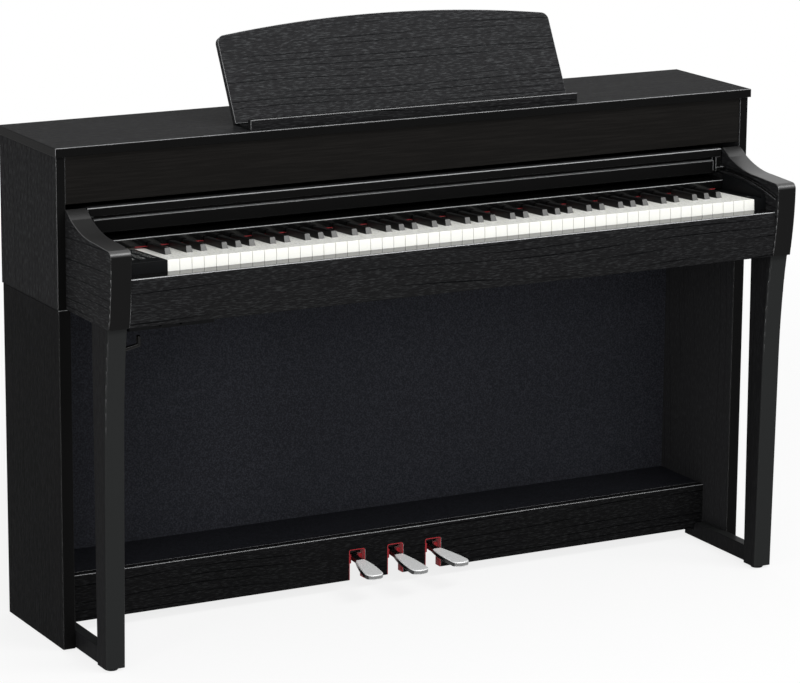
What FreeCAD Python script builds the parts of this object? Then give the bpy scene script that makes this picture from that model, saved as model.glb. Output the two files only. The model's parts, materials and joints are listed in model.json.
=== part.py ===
import FreeCAD, Part
import math
import os

# A home digital piano on its own stand: an upright-style cabinet with 88 keys, a sliding key
# cover, a folding music rest, three pedals and two front legs.
# Millimetres. X runs to the right seen from the front, the player sits on the -Y side,
# Z is up and z = 0 is the floor. The origin is under the middle of the bounding box.

V = FreeCAD.Vector

# ---- overall ----
WIDTH = 1461.0
DEPTH = 459.0
TOP_Z = 927.0
GAP = 0.3                      # play between pieces that only stand beside each other
REAR_Y = DEPTH / 2
FRONT_Y = -DEPTH / 2
CASE_Y = FRONT_Y + 191.0       # front edge of the top board; what the player sees keeps to it
SEAM_Z = TOP_Z - 293.0         # where the upper case stands on the stand's side panels

# ---- cabinet boards ----
TOP_THICK = 16.0
TOP_OVERHANG = 3.0
UPPER_SIDE_OUT = WIDTH / 2 - TOP_OVERHANG
UPPER_SIDE_THICK = 17.5
UPPER_SIDE_FRONT_Y = CASE_Y + 6.0
LOWER_SIDE_OUT = UPPER_SIDE_OUT + 0.5
LOWER_SIDE_THICK = 24.0
LOWER_SIDE_FRONT_Y = CASE_Y + 2.5
LOWER_SIDE_REAR_Y = REAR_Y - 7.0
LOWER_SIDE_BOTTOM_Z = 3.0
FRONT_PANEL_Y = CASE_Y + 8.5
FRONT_PANEL_THICK = 12.0
FRONT_PANEL_BOTTOM_Z = SEAM_Z + 189.0
UPPER_BACK_Y = REAR_Y - 12.5
LOWER_BACK_Y = REAR_Y - 21.5
LOWER_BACK_LOW_Z = LOWER_SIDE_BOTTOM_Z + 5.0
BACK_THICK = 5.0
EDGE_ROUND = 1.6

# ---- arms, legs and feet ----
ARM_OUT = UPPER_SIDE_OUT - UPPER_SIDE_THICK + 1.3
ARM_THICK = 40.3
ARM_IN = ARM_OUT - ARM_THICK
ARM_REAR_Z = SEAM_Z + 156.0
LEG_THICK = 38.0
LEG_OUT = ARM_OUT - 1.3
LEG_IN = LEG_OUT - LEG_THICK
LEG_BOTTOM_Z = 6.0
LEG_ROUND = 3.0
TOE_THICK = 20.7
TOE_OUT = LOWER_SIDE_OUT - LOWER_SIDE_THICK - GAP
TOE_IN = TOE_OUT - TOE_THICK
TOE_BOTTOM_Z = 4.5
TOE_TOP_Z = 36.0
TOE_TONGUE_Z = 20.0
TOE_REST_Y = FRONT_Y + 83.0      # where the bar meets the leg
GLIDE_R = 12.5
PAD_R = 9.0

# ---- key bed and key slip ----
BED_THICK = 15.0
BED_TOP_Z = SEAM_Z + 6.0 + BED_THICK
BED_HALF = ARM_IN - GAP
SLIP_TOP_Z = SEAM_Z + 88.0
SLIP_REAR_Y = CASE_Y - 150.0
SLIP_LOW_Y = FRONT_Y + 14.5
SLIP_THICK = 15.0
SLIP_LIP = 6.0

# ---- keys: built level about their pivot, then tipped front-up ----
PIVOT_Y = CASE_Y + 83.5
PIVOT_Z = BED_TOP_Z + 60.0
KEY_TILT = 3.2                 # degrees
KEY_COUNT = 52
BLOCK_LEFT_W = 86.0
BLOCK_RIGHT_W = 23.2
BLOCK_GAP = 1.2
KEY_LEFT_X = -BED_HALF + BLOCK_LEFT_W + BLOCK_GAP
KEY_PITCH = (BED_HALF - BLOCK_RIGHT_W - BLOCK_GAP - KEY_LEFT_X) / KEY_COUNT
KEY_GAP = 1.0
WHITE_FRONT = -231.6           # along the key from the pivot
WHITE_TOP = 14.1               # above the pivot
WHITE_THICK = 17.6
WHITE_LIP = 21.0
WHITE_LIP_THICK = 3.0
KEY_TAIL = 13.0                # behind the pivot
BLACK_FRONT = -177.5
BLACK_REAR = -99.2
BLACK_RISE = 11.5
BLACK_BASE_W = 12.4
BLACK_TOP_W = 9.6
BLACK_FRONT_SLOPE = 5.5
NOTCH_PLAY = 0.9
PIVOT_ROD_R = 2.5
RUN_FIT = 0.05                 # radial clearance of every turning fit
# how far each black key stands off the joint between its two white keys
BLACK_OFFSET = {"a_sharp": 3.4, "c_sharp": -2.3, "d_sharp": 2.3, "f_sharp": -3.4, "g_sharp": 0.0}
WHITE_NAMES = ("a", "b", "c", "d", "e", "f", "g")
BLACK_AFTER = {"a": "a_sharp", "c": "c_sharp", "d": "d_sharp", "f": "f_sharp", "g": "g_sharp"}

# ---- control blocks beside the keys ----
BLOCK_FRONT_Y = CASE_Y - 149.5
BLOCK_REAR_Y = CASE_Y - 11.1
BLOCK_RISE = 0.6               # above the white keys
BLOCK_WALL_IN = BED_HALF - 8.2
BUTTON_SIZE = (13.0, 7.5)
BUTTON_PLAY = 0.35
BUTTON_PROUD = 1.6
BUTTON_DEEP = 5.0
BUTTON_A = (-BED_HALF + 24.7, -212.0)    # x, and distance along the key from the pivot
BUTTON_B = (-BED_HALF + 48.7, -212.0)
POWER_AT = (BED_HALF - 15.7, -215.0)
KNOB_X = -BED_HALF + 22.7
KNOB_START = -172.0
KNOB_TRAVEL = 36.0
KNOB_SIZE = (9.0, 12.0, 6.5)
STEM_W = 2.6
SLOT_PLAY = 0.5

# ---- fallboard and felts ----
FALL_Y = CASE_Y - 10.5
FALL_THICK = 12.0
FALL_BOTTOM_Z = PIVOT_Z + 24.5
FALL_TOP_Z = PIVOT_Z + 40.0
FALL_DEEP = CASE_Y + 110.5
FELT_FRONT_Y = FALL_Y - 3.6
FELT_THICK = 4.2

# ---- key cover: it runs in curved grooves around a far axis ----
TRACK_R = 600.0
TRACK_Y = CASE_Y - 11.5
TRACK_Z = BED_TOP_Z + 120.0 - TRACK_R
GROOVE_HALF = 4.6
GROOVE_DEEP = 8.0
GROOVE_FRONT_DEG = math.degrees(math.asin((TRACK_Y - FRONT_Y - 6.6) / TRACK_R))
COVER_PIN_R = 4.4
COVER_PIN_FRONT_DEG = -math.degrees(math.asin(20.0 / TRACK_R))
COVER_THICK = 6.0
COVER_R_IN = TRACK_R + 31.0
COVER_R_OUT = COVER_R_IN + COVER_THICK
COVER_REAR_Y = UPPER_BACK_Y - 41.83
COVER_REAR_DEG = -math.degrees(math.asin((COVER_REAR_Y - TRACK_Y) / COVER_R_OUT))
COVER_PIN_REAR_DEG = COVER_REAR_DEG + 1.1
GROOVE_REAR_DEG = COVER_REAR_DEG + 0.1
COVER_HALF = ARM_IN - 3.0
SKIRT_R = TRACK_R - 6.0
SKIRT_THICK = 4.0
RAIL_FRONT_Y = CASE_Y + 4.5
RAIL_REAR_Y = CASE_Y + 24.5
RAIL_TOP_Z = BED_TOP_Z + 159.0
RAIL_NOSE_Z = BED_TOP_Z + 143.0
RAIL_STEP_Z = BED_TOP_Z + 135.0
RAIL_BOTTOM_Z = BED_TOP_Z + 109.0
RAIL_FACE_Y = CASE_Y + 13.5
RAIL_GROOVE_Y = CASE_Y + 17.5
RAIL_LOWER_HALF = ARM_IN - 10.5

# ---- music rest: built upright on its hinge line, then leaned back ----
REST_AXIS_Y = CASE_Y + 73.5
REST_AXIS_Z = TOP_Z + 5.6
REST_LEAN = 28.0               # degrees from upright
REST_HALF = 350.0
REST_LOW = -6.0
REST_SIDE = 163.0
REST_CROWN = 186.0
REST_BACK = 0.5                # in front of the hinge line
REST_FRONT = 11.5
REST_CORNER = 13.0
REST_KNUCKLE_R = 5.2
REST_PIN_R = 3.0
LUG_IN = 280.0
LUG_OUT = 340.0
LUG_THICK = 4.0
LUG_R = 5.3
STAY_X = 250.0
STAY_LONG = 82.0               # equal to its height on the plate, so the foot runs level
STAY_W = 9.0
STAY_THICK = 5.0
STAY_EYE_R = 4.0
STAY_PIN_R = 2.0
STAY_FOOT_R = 5.3
LEDGE_HALF = 343.5
LEDGE_FRONT_Y = CASE_Y + 11.5
LEDGE_LIP = 11.0
LEDGE_H = 19.0
LEDGE_FLOOR = 4.0
LEDGE_REAR_Y = REST_AXIS_Y - 14.0

# ---- pedal box and pedals ----
RAIL_Y = CASE_Y + 90.5
TOE_REAR_Y = RAIL_Y + 30.0
RAIL_THICK = 18.0
RAIL_LOW_Z = 22.0
RAIL_HIGH_Z = 111.0
BOX_HALF = LOWER_SIDE_OUT - LOWER_SIDE_THICK - GAP
SHELF_THICK = 12.0
PEDAL_X = (-81.3, 1.5, 84.3)
NOTCH_W = 34.6
NOTCH_TOP_Z = 82.5
NOTCH_ROUND = 4.0
LINER = 1.8
PEDAL_PIVOT_Y = LOWER_BACK_Y - 40.0
PEDAL_PIVOT_Z = 66.0
PEDAL_TILT = 3.8               # degrees, front down
PEDAL_ROD_R = 4.0
PEDAL_TOP = 8.0                # above the pivot
PEDAL_THICK = 9.0
PEDAL_REAR_W = 14.0
PEDAL_TOE_W = 36.0
PEDAL_TOE_Y = RAIL_Y - 102.0
PEDAL_NECK_Y = RAIL_Y - 6.0    # from here the pedal widens towards its toe
PEDAL_SPLAY = 10.0             # the outer toes stand out by this much
MIDDLE_LONGER = 8.0
PEDAL_STOP_Z = 69.5
GUIDE_LOW_Z = 52.0
GUIDE_H = 18.0
PEDAL_BOSS_R = 9.0
CHEEK_THICK = 3.0

# ---- inside and small pieces ----
ROOM_Y = PIVOT_Y + 27.0         # behind the key frame
SPEAKER_R = (UPPER_BACK_Y - ROOM_Y - 21.0) / 2
SPEAKER_HOLE_R = SPEAKER_R - 6.0
INLET_X = BED_HALF - 110.7
SPEAKER_X = INLET_X - 68.0 - SPEAKER_R
SPEAKER_Y = ROOM_Y + SPEAKER_R + 3.0
JACK_X = (-LEG_IN + 72.0, -LEG_IN + 112.0)
JACK_R = 3.25
JACK_DEEP = 28.0
JACK_Z = SEAM_Z - 6.0
JACK_FRONT_Y = CASE_Y - 147.5
INLET_Z = BED_TOP_Z + 35.0
SCREW_R = 2.0
SCREW_HEAD_R = 4.2
SCREW_HEAD = 2.4
SCREW_LONG = 24.0
SCREW_X = ARM_IN + 19.0
SCREW_Z = (BED_TOP_Z + 13.0, BED_TOP_Z + 65.0, BED_TOP_Z + 117.0)
HOOK_R = 4.0


# ---- helpers ----
def box(x0, x1, y0, y1, z0, z1):
    return Part.makeBox(x1 - x0, y1 - y0, z1 - z0, V(x0, y0, z0))


def cyl(axis, at, r, length):
    return Part.makeCylinder(r, length, V(*at), V(*axis))


def rod_x(x0, x1, y, z, r):
    return cyl((1, 0, 0), (x0, y, z), r, x1 - x0)


def mirror(shape):
    return shape.mirror(V(0, 0, 0), V(1, 0, 0))


def outline(path, place):
    """Closed face from points; a pair of points is an arc through the first to the second."""
    edges = []
    here = path[0]
    for step in path[1:] + [path[0]]:
        if len(step) == 2 and isinstance(step[0], tuple):
            edges.append(Part.Arc(place(here), place(step[0]), place(step[1])).toShape())
            here = step[1]
        else:
            if math.dist(here, step) > 1e-6:
                edges.append(Part.makeLine(place(here), place(step)))
            here = step
    return Part.Face(Part.Wire(edges))


def carried_on(a, b, c):
    """Middle of the arc that carries the line a-b smoothly on to c."""
    along = math.atan2(b[1] - a[1], b[0] - a[0])
    across = math.atan2(c[1] - b[1], c[0] - b[0])
    half = math.dist(b, c) / 2 / math.cos((across - along) / 2)
    mean = (along + across) / 2
    return (b[0] + half * math.cos(mean), b[1] + half * math.sin(mean))


def side_profile(path, x0, x1):
    """A (y, z) outline carried along X."""
    face = outline(path, lambda p: V(x0, p[0], p[1]))
    return face.extrude(V(x1 - x0, 0, 0))


def plan_profile(path, z0, z1):
    """An (x, y) outline carried along Z."""
    face = outline(path, lambda p: V(p[0], p[1], z0))
    return face.extrude(V(0, 0, z1 - z0))


def arc_sector(r0, r1, deg0, deg1, x0, x1):
    """Piece of a ring around the key cover's track axis; degrees count towards the player."""
    def at(r, deg):
        a = math.radians(deg)
        return (TRACK_Y - r * math.sin(a), TRACK_Z + r * math.cos(a))
    mid = (deg0 + deg1) / 2
    path = [at(r0, deg0), (at(r0, mid), at(r0, deg1)), at(r1, deg1), (at(r1, mid), at(r1, deg0))]
    return side_profile(path, x0, x1)


def soften(shape, r, wanted):
    """Round the edges whose middle the wanted function accepts."""
    edges = [e for e in shape.Edges if wanted(e.CenterOfMass)]
    return shape.makeFillet(r, edges)


def turned(shape, y, z, deg):
    """Copy turned about a line along X; positive tips the front down."""
    out = shape.copy()
    out.rotate(V(0, y, z), V(1, 0, 0), deg)
    return out


def tipped(shape):
    """From the level key frame to the keys' rest slope."""
    return turned(shape, PIVOT_Y, PIVOT_Z, -KEY_TILT)


def key_box(x0, x1, a0, a1, b0, b1):
    """Box in the level key frame: a along the key, b above the pivot."""
    return box(x0, x1, PIVOT_Y + a0, PIVOT_Y + a1, PIVOT_Z + b0, PIVOT_Z + b1)


def key_top_z(y):
    """Height of the sloping white key tops at y."""
    slope = math.tan(math.radians(KEY_TILT))
    return PIVOT_Z + WHITE_TOP / math.cos(math.radians(KEY_TILT)) + (PIVOT_Y - y) * slope


# ---- cabinet ----
def top_board():
    board = box(-WIDTH / 2, WIDTH / 2, CASE_Y, REAR_Y, TOP_Z - TOP_THICK, TOP_Z)
    return soften(board, EDGE_ROUND, lambda c: c.z > TOP_Z - 0.1)


def upper_side():
    inner = UPPER_SIDE_OUT - UPPER_SIDE_THICK
    board = box(inner, UPPER_SIDE_OUT, UPPER_SIDE_FRONT_Y, REAR_Y - 1.0, SEAM_Z + GAP,
                TOP_Z - TOP_THICK)
    return soften(board, EDGE_ROUND / 2, lambda c: c.y < UPPER_SIDE_FRONT_Y + 0.1)


def lower_side():
    board = box(LOWER_SIDE_OUT - LOWER_SIDE_THICK, LOWER_SIDE_OUT, LOWER_SIDE_FRONT_Y,
                LOWER_SIDE_REAR_Y, LOWER_SIDE_BOTTOM_Z, SEAM_Z)
    return soften(board, EDGE_ROUND, lambda c: (c.y < LOWER_SIDE_FRONT_Y + 0.1 or c.y > LOWER_SIDE_REAR_Y - 0.1)
                  and abs(c.z - SEAM_Z / 2) < 10)


def front_panel():
    half = UPPER_SIDE_OUT - UPPER_SIDE_THICK - GAP
    board = box(-half, half, FRONT_PANEL_Y, FRONT_PANEL_Y + FRONT_PANEL_THICK,
                FRONT_PANEL_BOTTOM_Z, TOP_Z - TOP_THICK - GAP)
    low = FRONT_PANEL_BOTTOM_Z + 0.1
    return soften(board, EDGE_ROUND, lambda c: c.y < FRONT_PANEL_Y + 0.1 and c.z < low)


def inlet_window(grow):
    return box(INLET_X - 14 - grow, INLET_X + 14 + grow, UPPER_BACK_Y - 30,
               UPPER_BACK_Y + BACK_THICK + 1, INLET_Z - 10 - grow, INLET_Z + 10 + grow)


def screw_spots():
    return [(sx * SCREW_X, z) for sx in (-1, 1) for z in SCREW_Z]


def screw_holes():
    spots = screw_spots()
    rear = UPPER_BACK_Y + BACK_THICK
    holes = [cyl((0, -1, 0), (x, rear + 1, z), SCREW_R, SCREW_LONG + 1) for x, z in spots]
    return Part.makeCompound(holes)


def upper_back():
    half = UPPER_SIDE_OUT - UPPER_SIDE_THICK - GAP
    board = box(-half, half, UPPER_BACK_Y, UPPER_BACK_Y + BACK_THICK, SEAM_Z + GAP,
                TOP_Z - TOP_THICK - GAP)
    return board.cut(inlet_window(0)).cut(screw_holes())


def lower_back():
    return box(-BOX_HALF, BOX_HALF, LOWER_BACK_Y, LOWER_BACK_Y + BACK_THICK, LOWER_BACK_LOW_Z,
               SEAM_Z - GAP)


def key_bed():
    board = box(-BED_HALF, BED_HALF, SLIP_LOW_Y + SLIP_THICK + GAP, UPPER_BACK_Y - GAP,
                BED_TOP_Z - BED_THICK, BED_TOP_Z)
    for sx in (-1, 1):
        at = (sx * SPEAKER_X, SPEAKER_Y, BED_TOP_Z - BED_THICK - 1)
        board = board.cut(cyl((0, 0, 1), at, SPEAKER_HOLE_R, BED_THICK + 2))
    return board


def key_slip():
    low_rear = SLIP_LOW_Y + SLIP_THICK
    face = SLIP_LOW_Y - 6.5
    path = [(SLIP_LOW_Y, SEAM_Z),
            ((face - 0.1, SLIP_TOP_Z - 46.0), (face, SLIP_TOP_Z - 3.0)),
            ((face + 0.9, SLIP_TOP_Z - 0.9), (face + 3.0, SLIP_TOP_Z)),
            (SLIP_REAR_Y, SLIP_TOP_Z),
            (SLIP_REAR_Y, SLIP_TOP_Z - SLIP_LIP),
            (low_rear, SLIP_TOP_Z - SLIP_LIP - 4),
            (low_rear, SEAM_Z)]
    return side_profile(path, -BED_HALF, BED_HALF)


def arm():
    """Right arm, with the cheek that carries on inside the case and holds the cover's groove."""
    low = SEAM_Z + 0.2
    rear = UPPER_SIDE_FRONT_Y - GAP
    path = [(FRONT_Y + 12.1, low),
            ((FRONT_Y + 3.1, low + 65.8), (FRONT_Y, low + 123.8)),
            (FRONT_Y, low + 129.8),
            ((FRONT_Y + 3.6, low + 138.4), (FRONT_Y + 12.5, low + 141.8)),
            (FRONT_Y + 79.5, low + 145.0),
            ((rear - 66.2, low + 151.4), (rear - 25.2, low + 166.6)),
            ((rear - 12.4, low + 175.0), (rear, low + 181.0)),
            (rear, low)]
    front = side_profile(path, ARM_IN, ARM_OUT)
    front = soften(front, EDGE_ROUND, lambda c: c.y < rear - 1 and c.z > low + 6)
    inner = UPPER_SIDE_OUT - UPPER_SIDE_THICK - GAP
    cheek = box(ARM_IN, inner, rear - 5, UPPER_BACK_Y, low, ARM_REAR_Z)
    groove = arc_sector(TRACK_R - GROOVE_HALF, TRACK_R + GROOVE_HALF, GROOVE_REAR_DEG,
                        GROOVE_FRONT_DEG, ARM_IN - 1, ARM_IN + GROOVE_DEEP)
    return front.fuse(cheek).removeSplitter().cut(groove).cut(screw_holes())


def leg():
    foot = (FRONT_Y + 44.5, LEG_BOTTOM_Z)
    knee = (FRONT_Y + 36.3, SEAM_Z - 204.0)
    head = (FRONT_Y + 19.0, SEAM_Z)
    rear = FRONT_Y + 82.5
    path = [foot,
            knee,
            (carried_on(foot, knee, head), head),
            (rear + 6.0, SEAM_Z),
            (rear, LEG_BOTTOM_Z)]
    post = side_profile(path, LEG_IN, LEG_OUT)
    post = soften(post, LEG_ROUND, lambda c: c.y < foot[0] and 40 < c.z < SEAM_Z - 20)
    return soften(post, EDGE_ROUND, lambda c: c.y > rear and 40 < c.z < SEAM_Z - 20)


def toe_bar():
    nose = RAIL_Y - 2.0
    path = [(TOE_REST_Y, TOE_BOTTOM_Z), (TOE_REST_Y, TOE_TOP_Z), (nose - 12.0, TOE_TOP_Z),
            ((nose - 3.4, TOE_TOP_Z - 3.4), (nose, TOE_TOP_Z - 12.0)),
            (nose, TOE_TONGUE_Z), (TOE_REAR_Y, TOE_TONGUE_Z), (TOE_REAR_Y, TOE_BOTTOM_Z)]
    return side_profile(path, TOE_IN, TOE_OUT)


def foot_glides():
    feet = []
    pad_x = LOWER_SIDE_OUT - LOWER_SIDE_THICK / 2
    for sx in (-1, 1):
        at = (sx * (LEG_OUT + LEG_IN) / 2, FRONT_Y + 63.5, 0)
        feet.append(cyl((0, 0, 1), at, GLIDE_R, LEG_BOTTOM_Z))
        for y in (LOWER_SIDE_FRONT_Y + 18.0, LOWER_SIDE_REAR_Y - 18.5):
            feet.append(cyl((0, 0, 1), (sx * pad_x, y, 0), PAD_R, LOWER_SIDE_BOTTOM_Z))
    return Part.makeCompound(feet)


# ---- keyboard ----
def black_centres():
    """x of every black key with its note name, A0 to C8."""
    out = []
    for i in range(KEY_COUNT - 1):
        name = BLACK_AFTER.get(WHITE_NAMES[i % 7])
        if name:
            out.append((name, KEY_LEFT_X + KEY_PITCH * (i + 1) + BLACK_OFFSET[name]))
    return out


def pivot_hole(x0, x1):
    return rod_x(x0 - 1, x1 + 1, PIVOT_Y, PIVOT_Z, PIVOT_ROD_R + RUN_FIT)


def white_key(i):
    x0 = KEY_LEFT_X + KEY_PITCH * i + KEY_GAP / 2
    x1 = x0 + KEY_PITCH - KEY_GAP
    low = WHITE_TOP - WHITE_THICK
    key = key_box(x0, x1, WHITE_FRONT, KEY_TAIL, low, WHITE_TOP)
    key = soften(key, 0.8, lambda c: c.z > PIVOT_Z + WHITE_TOP - 0.1 and c.y < PIVOT_Y - 100)
    lip = key_box(x0, x1, WHITE_FRONT, WHITE_FRONT + WHITE_LIP_THICK, WHITE_TOP - WHITE_LIP, low)
    key = key.fuse(lip).removeSplitter()
    play = BLACK_BASE_W / 2 + NOTCH_PLAY
    for name, xc in black_centres():
        if x0 - play < xc < x1 + play:
            start = BLACK_FRONT - NOTCH_PLAY
            key = key.cut(key_box(xc - play, xc + play, start, KEY_TAIL + 1, low - 1,
                                  WHITE_TOP + 1))
    return tipped(key.cut(pivot_hole(x0, x1)))


def black_key(xc):
    half = BLACK_BASE_W / 2
    low = WHITE_TOP - WHITE_THICK
    body = key_box(xc - half, xc + half, BLACK_FRONT, KEY_TAIL, low, WHITE_TOP - 1.5)
    top = BLACK_TOP_W / 2
    z0 = PIVOT_Z + WHITE_TOP - 1.5
    z1 = PIVOT_Z + WHITE_TOP + BLACK_RISE
    y0 = PIVOT_Y + BLACK_FRONT
    y1 = PIVOT_Y + BLACK_REAR
    low_ring = [V(xc - half, y0, z0), V(xc + half, y0, z0), V(xc + half, y1, z0),
                V(xc - half, y1, z0)]
    y0 += BLACK_FRONT_SLOPE
    high_ring = [V(xc - top, y0, z1), V(xc + top, y0, z1), V(xc + top, y1, z1),
                 V(xc - top, y1, z1)]
    rings = [Part.makePolygon(ring + ring[:1]) for ring in (low_ring, high_ring)]
    cap = Part.makeLoft(rings, True, True)
    cap = soften(cap, 1.6, lambda c: c.z > z1 - 0.1 and c.y < y1 - 1)
    key = body.fuse(cap).removeSplitter()
    return tipped(key.cut(pivot_hole(xc - half, xc + half)))


def keys_named():
    """All keys of one note name together: note name -> list of solids."""
    found = {}
    for i in range(KEY_COUNT):
        found.setdefault(WHITE_NAMES[i % 7], []).append(white_key(i))
    for name, xc in black_centres():
        found.setdefault(name, []).append(black_key(xc))
    return found


def key_right_x():
    return KEY_LEFT_X + KEY_PITCH * KEY_COUNT


def bracket_spans():
    left = KEY_LEFT_X - 2.0
    right = key_right_x() + 2.0
    return ((left - 6, left), (right, right + 6))


def key_rod():
    spans = bracket_spans()
    return rod_x(spans[0][0], spans[1][1], PIVOT_Y, PIVOT_Z, PIVOT_ROD_R)


def key_frame():
    spans = bracket_spans()
    x0 = spans[0][0]
    x1 = spans[1][1]
    y = PIVOT_Y
    frame = box(x0, x1, y - 23, ROOM_Y, BED_TOP_Z, PIVOT_Z - 15)
    frame = frame.fuse(box(KEY_LEFT_X, key_right_x(), y - 221, y - 23, BED_TOP_Z, BED_TOP_Z + 3))
    for near, far, low in ((-221, -195, 13), (-129, -85, 16)):
        frame = frame.fuse(box(KEY_LEFT_X, key_right_x(), y + near, y + far, BED_TOP_Z,
                               PIVOT_Z - low))
    for a, b in spans:
        frame = frame.fuse(box(a, b, PIVOT_Y - 12, PIVOT_Y + 12, BED_TOP_Z, PIVOT_Z + 8))
    return frame.removeSplitter().cut(rod_x(x0 - 1, x1 + 1, PIVOT_Y, PIVOT_Z, PIVOT_ROD_R))


def key_felt():
    """Back felt above the key tops, and the felt the keys come down on."""
    x0 = KEY_LEFT_X
    x1 = key_right_x()
    z1 = FALL_BOTTOM_Z
    back = box(x0 - 0.8, x1 + 0.8, FELT_FRONT_Y, FALL_Y + FALL_THICK, z1 - FELT_THICK, z1)
    stop = box(x0, x1, PIVOT_Y - 219, PIVOT_Y - 197, PIVOT_Z - 13, PIVOT_Z - 4)
    return Part.makeCompound([back, stop])


def contact_board():
    """Sensor board under the keys, with one rubber dome strip."""
    x0 = KEY_LEFT_X
    x1 = key_right_x()
    low = PIVOT_Z - 16
    board = box(x0, x1, PIVOT_Y - 127, PIVOT_Y - 87, low, low + 1.6)
    strip = box(x0 + 4, x1 - 4, PIVOT_Y - 113, PIVOT_Y - 101, low + 1.6, low + 9)
    return Part.makeCompound([board, strip])


def fallboard():
    path = [(FALL_Y, FALL_BOTTOM_Z), (FALL_Y, FALL_TOP_Z - 2.0),
            ((FALL_Y + 0.6, FALL_TOP_Z - 0.6), (FALL_Y + 2.0, FALL_TOP_Z)),
            (FALL_DEEP, FALL_TOP_Z), (FALL_DEEP, FALL_TOP_Z - 4),
            (FALL_Y + FALL_THICK, FALL_TOP_Z - 4), (FALL_Y + FALL_THICK, FALL_BOTTOM_Z)]
    return side_profile(path, -BED_HALF, BED_HALF)


# ---- key cover ----
def cover_pin(deg, x0, x1):
    a = math.radians(deg)
    y = TRACK_Y - TRACK_R * math.sin(a)
    z = TRACK_Z + TRACK_R * math.cos(a)
    return rod_x(x0, x1, y, z, COVER_PIN_R)


def key_cover():
    front = math.degrees(math.atan2(TRACK_Y - RAIL_REAR_Y, COVER_R_IN))
    sheet = arc_sector(COVER_R_IN, COVER_R_OUT, COVER_REAR_DEG, front, -COVER_HALF, COVER_HALF)
    for sx in (-1, 1):
        out = sx * COVER_HALF
        inn = sx * (COVER_HALF - SKIRT_THICK)
        sheet = sheet.fuse(arc_sector(SKIRT_R, COVER_R_IN + 1, COVER_REAR_DEG, front,
                                      min(out, inn), max(out, inn)))
        tip = sx * (ARM_IN + GROOVE_DEEP - 1.5)
        sheet = sheet.fuse(cover_pin(COVER_PIN_REAR_DEG, min(inn, tip), max(inn, tip)))
    clear = box(-WIDTH, WIDTH, RAIL_REAR_Y - 60, RAIL_REAR_Y, TRACK_Z, TOP_Z)
    return sheet.removeSplitter().cut(clear)


def cover_rail():
    nose = [(RAIL_FRONT_Y, RAIL_NOSE_Z + 1), (RAIL_FRONT_Y, RAIL_TOP_Z - 3),
            ((RAIL_FRONT_Y + 0.9, RAIL_TOP_Z - 0.9), (RAIL_FRONT_Y + 3, RAIL_TOP_Z)),
            (RAIL_REAR_Y, RAIL_TOP_Z), (RAIL_REAR_Y, RAIL_NOSE_Z),
            (RAIL_FRONT_Y + 1, RAIL_NOSE_Z)]
    rail = side_profile(nose, -COVER_HALF, COVER_HALF)
    skirt = [(RAIL_GROOVE_Y, RAIL_NOSE_Z), (RAIL_REAR_Y, RAIL_NOSE_Z),
             (RAIL_REAR_Y, RAIL_BOTTOM_Z), (RAIL_FACE_Y + 2, RAIL_BOTTOM_Z),
             (RAIL_FACE_Y, RAIL_BOTTOM_Z + 2), (RAIL_FACE_Y, RAIL_STEP_Z - 1),
             (RAIL_FACE_Y + 1, RAIL_STEP_Z), (RAIL_GROOVE_Y, RAIL_STEP_Z)]
    rail = rail.fuse(side_profile(skirt, -RAIL_LOWER_HALF, RAIL_LOWER_HALF))
    for sx in (-1, 1):
        inn = sx * (RAIL_LOWER_HALF - 4)
        out = sx * COVER_HALF
        low = TRACK_Z + SKIRT_R + 1
        rail = rail.fuse(box(min(inn, out), max(inn, out), RAIL_FRONT_Y + 0.6, RAIL_REAR_Y,
                             low, RAIL_NOSE_Z))
        tip = sx * (ARM_IN + GROOVE_DEEP - 1.5)
        rail = rail.fuse(cover_pin(COVER_PIN_FRONT_DEG, min(inn, tip), max(inn, tip)))
    return rail.removeSplitter()


# ---- control blocks ----
def control_block(x_keys, x_arm, holes):
    """Moulded block with a flat top level with the keys and a curved wall along the arm."""
    x0 = min(x_keys, x_arm)
    x1 = max(x_keys, x_arm)
    top_front = key_top_z(BLOCK_FRONT_Y) + BLOCK_RISE
    top_rear = key_top_z(BLOCK_REAR_Y) + BLOCK_RISE
    path = [(BLOCK_FRONT_Y, BED_TOP_Z + GAP), (BLOCK_FRONT_Y, top_front),
            (BLOCK_REAR_Y, top_rear), (BLOCK_REAR_Y, BED_TOP_Z + GAP)]
    block = side_profile(path, x0, x1)
    block = soften(block, 1.2, lambda c: c.y < BLOCK_FRONT_Y + 0.1 and c.z > top_front - 0.5)
    sx = 1 if x_arm > 0 else -1
    wall = box(min(sx * BLOCK_WALL_IN, x_arm), max(sx * BLOCK_WALL_IN, x_arm),
               BLOCK_FRONT_Y + 2, BLOCK_REAR_Y, top_rear - 2, RAIL_BOTTOM_Z + 10)
    wall = wall.common(rod_x(x0, x1, TRACK_Y, TRACK_Z, SKIRT_R - 3))
    block = block.fuse(wall).removeSplitter()
    hollow = box(x0 + 4, x1 - 4, BLOCK_FRONT_Y + 4, BLOCK_REAR_Y - 4, BED_TOP_Z - 1,
                 top_rear - 9)
    block = block.cut(hollow)
    for hole in holes:
        block = block.cut(tipped(hole))
    return block


def button_shape(at, grow, deep, proud):
    w = BUTTON_SIZE[0] / 2 + grow
    d = BUTTON_SIZE[1] / 2 + grow
    x, a = at
    base = WHITE_TOP + BLOCK_RISE
    return key_box(x - w, x + w, a - d, a + d, base - deep, base + proud)


def button(at):
    cap = button_shape(at, 0, BUTTON_DEEP, BUTTON_PROUD)
    high = PIVOT_Z + WHITE_TOP + BLOCK_RISE + BUTTON_PROUD
    return tipped(soften(cap, 0.7, lambda c: c.z > high - 0.1))


def button_well(at):
    return button_shape(at, BUTTON_PLAY, BUTTON_DEEP + BUTTON_PROUD + 1.0, 5)


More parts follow.
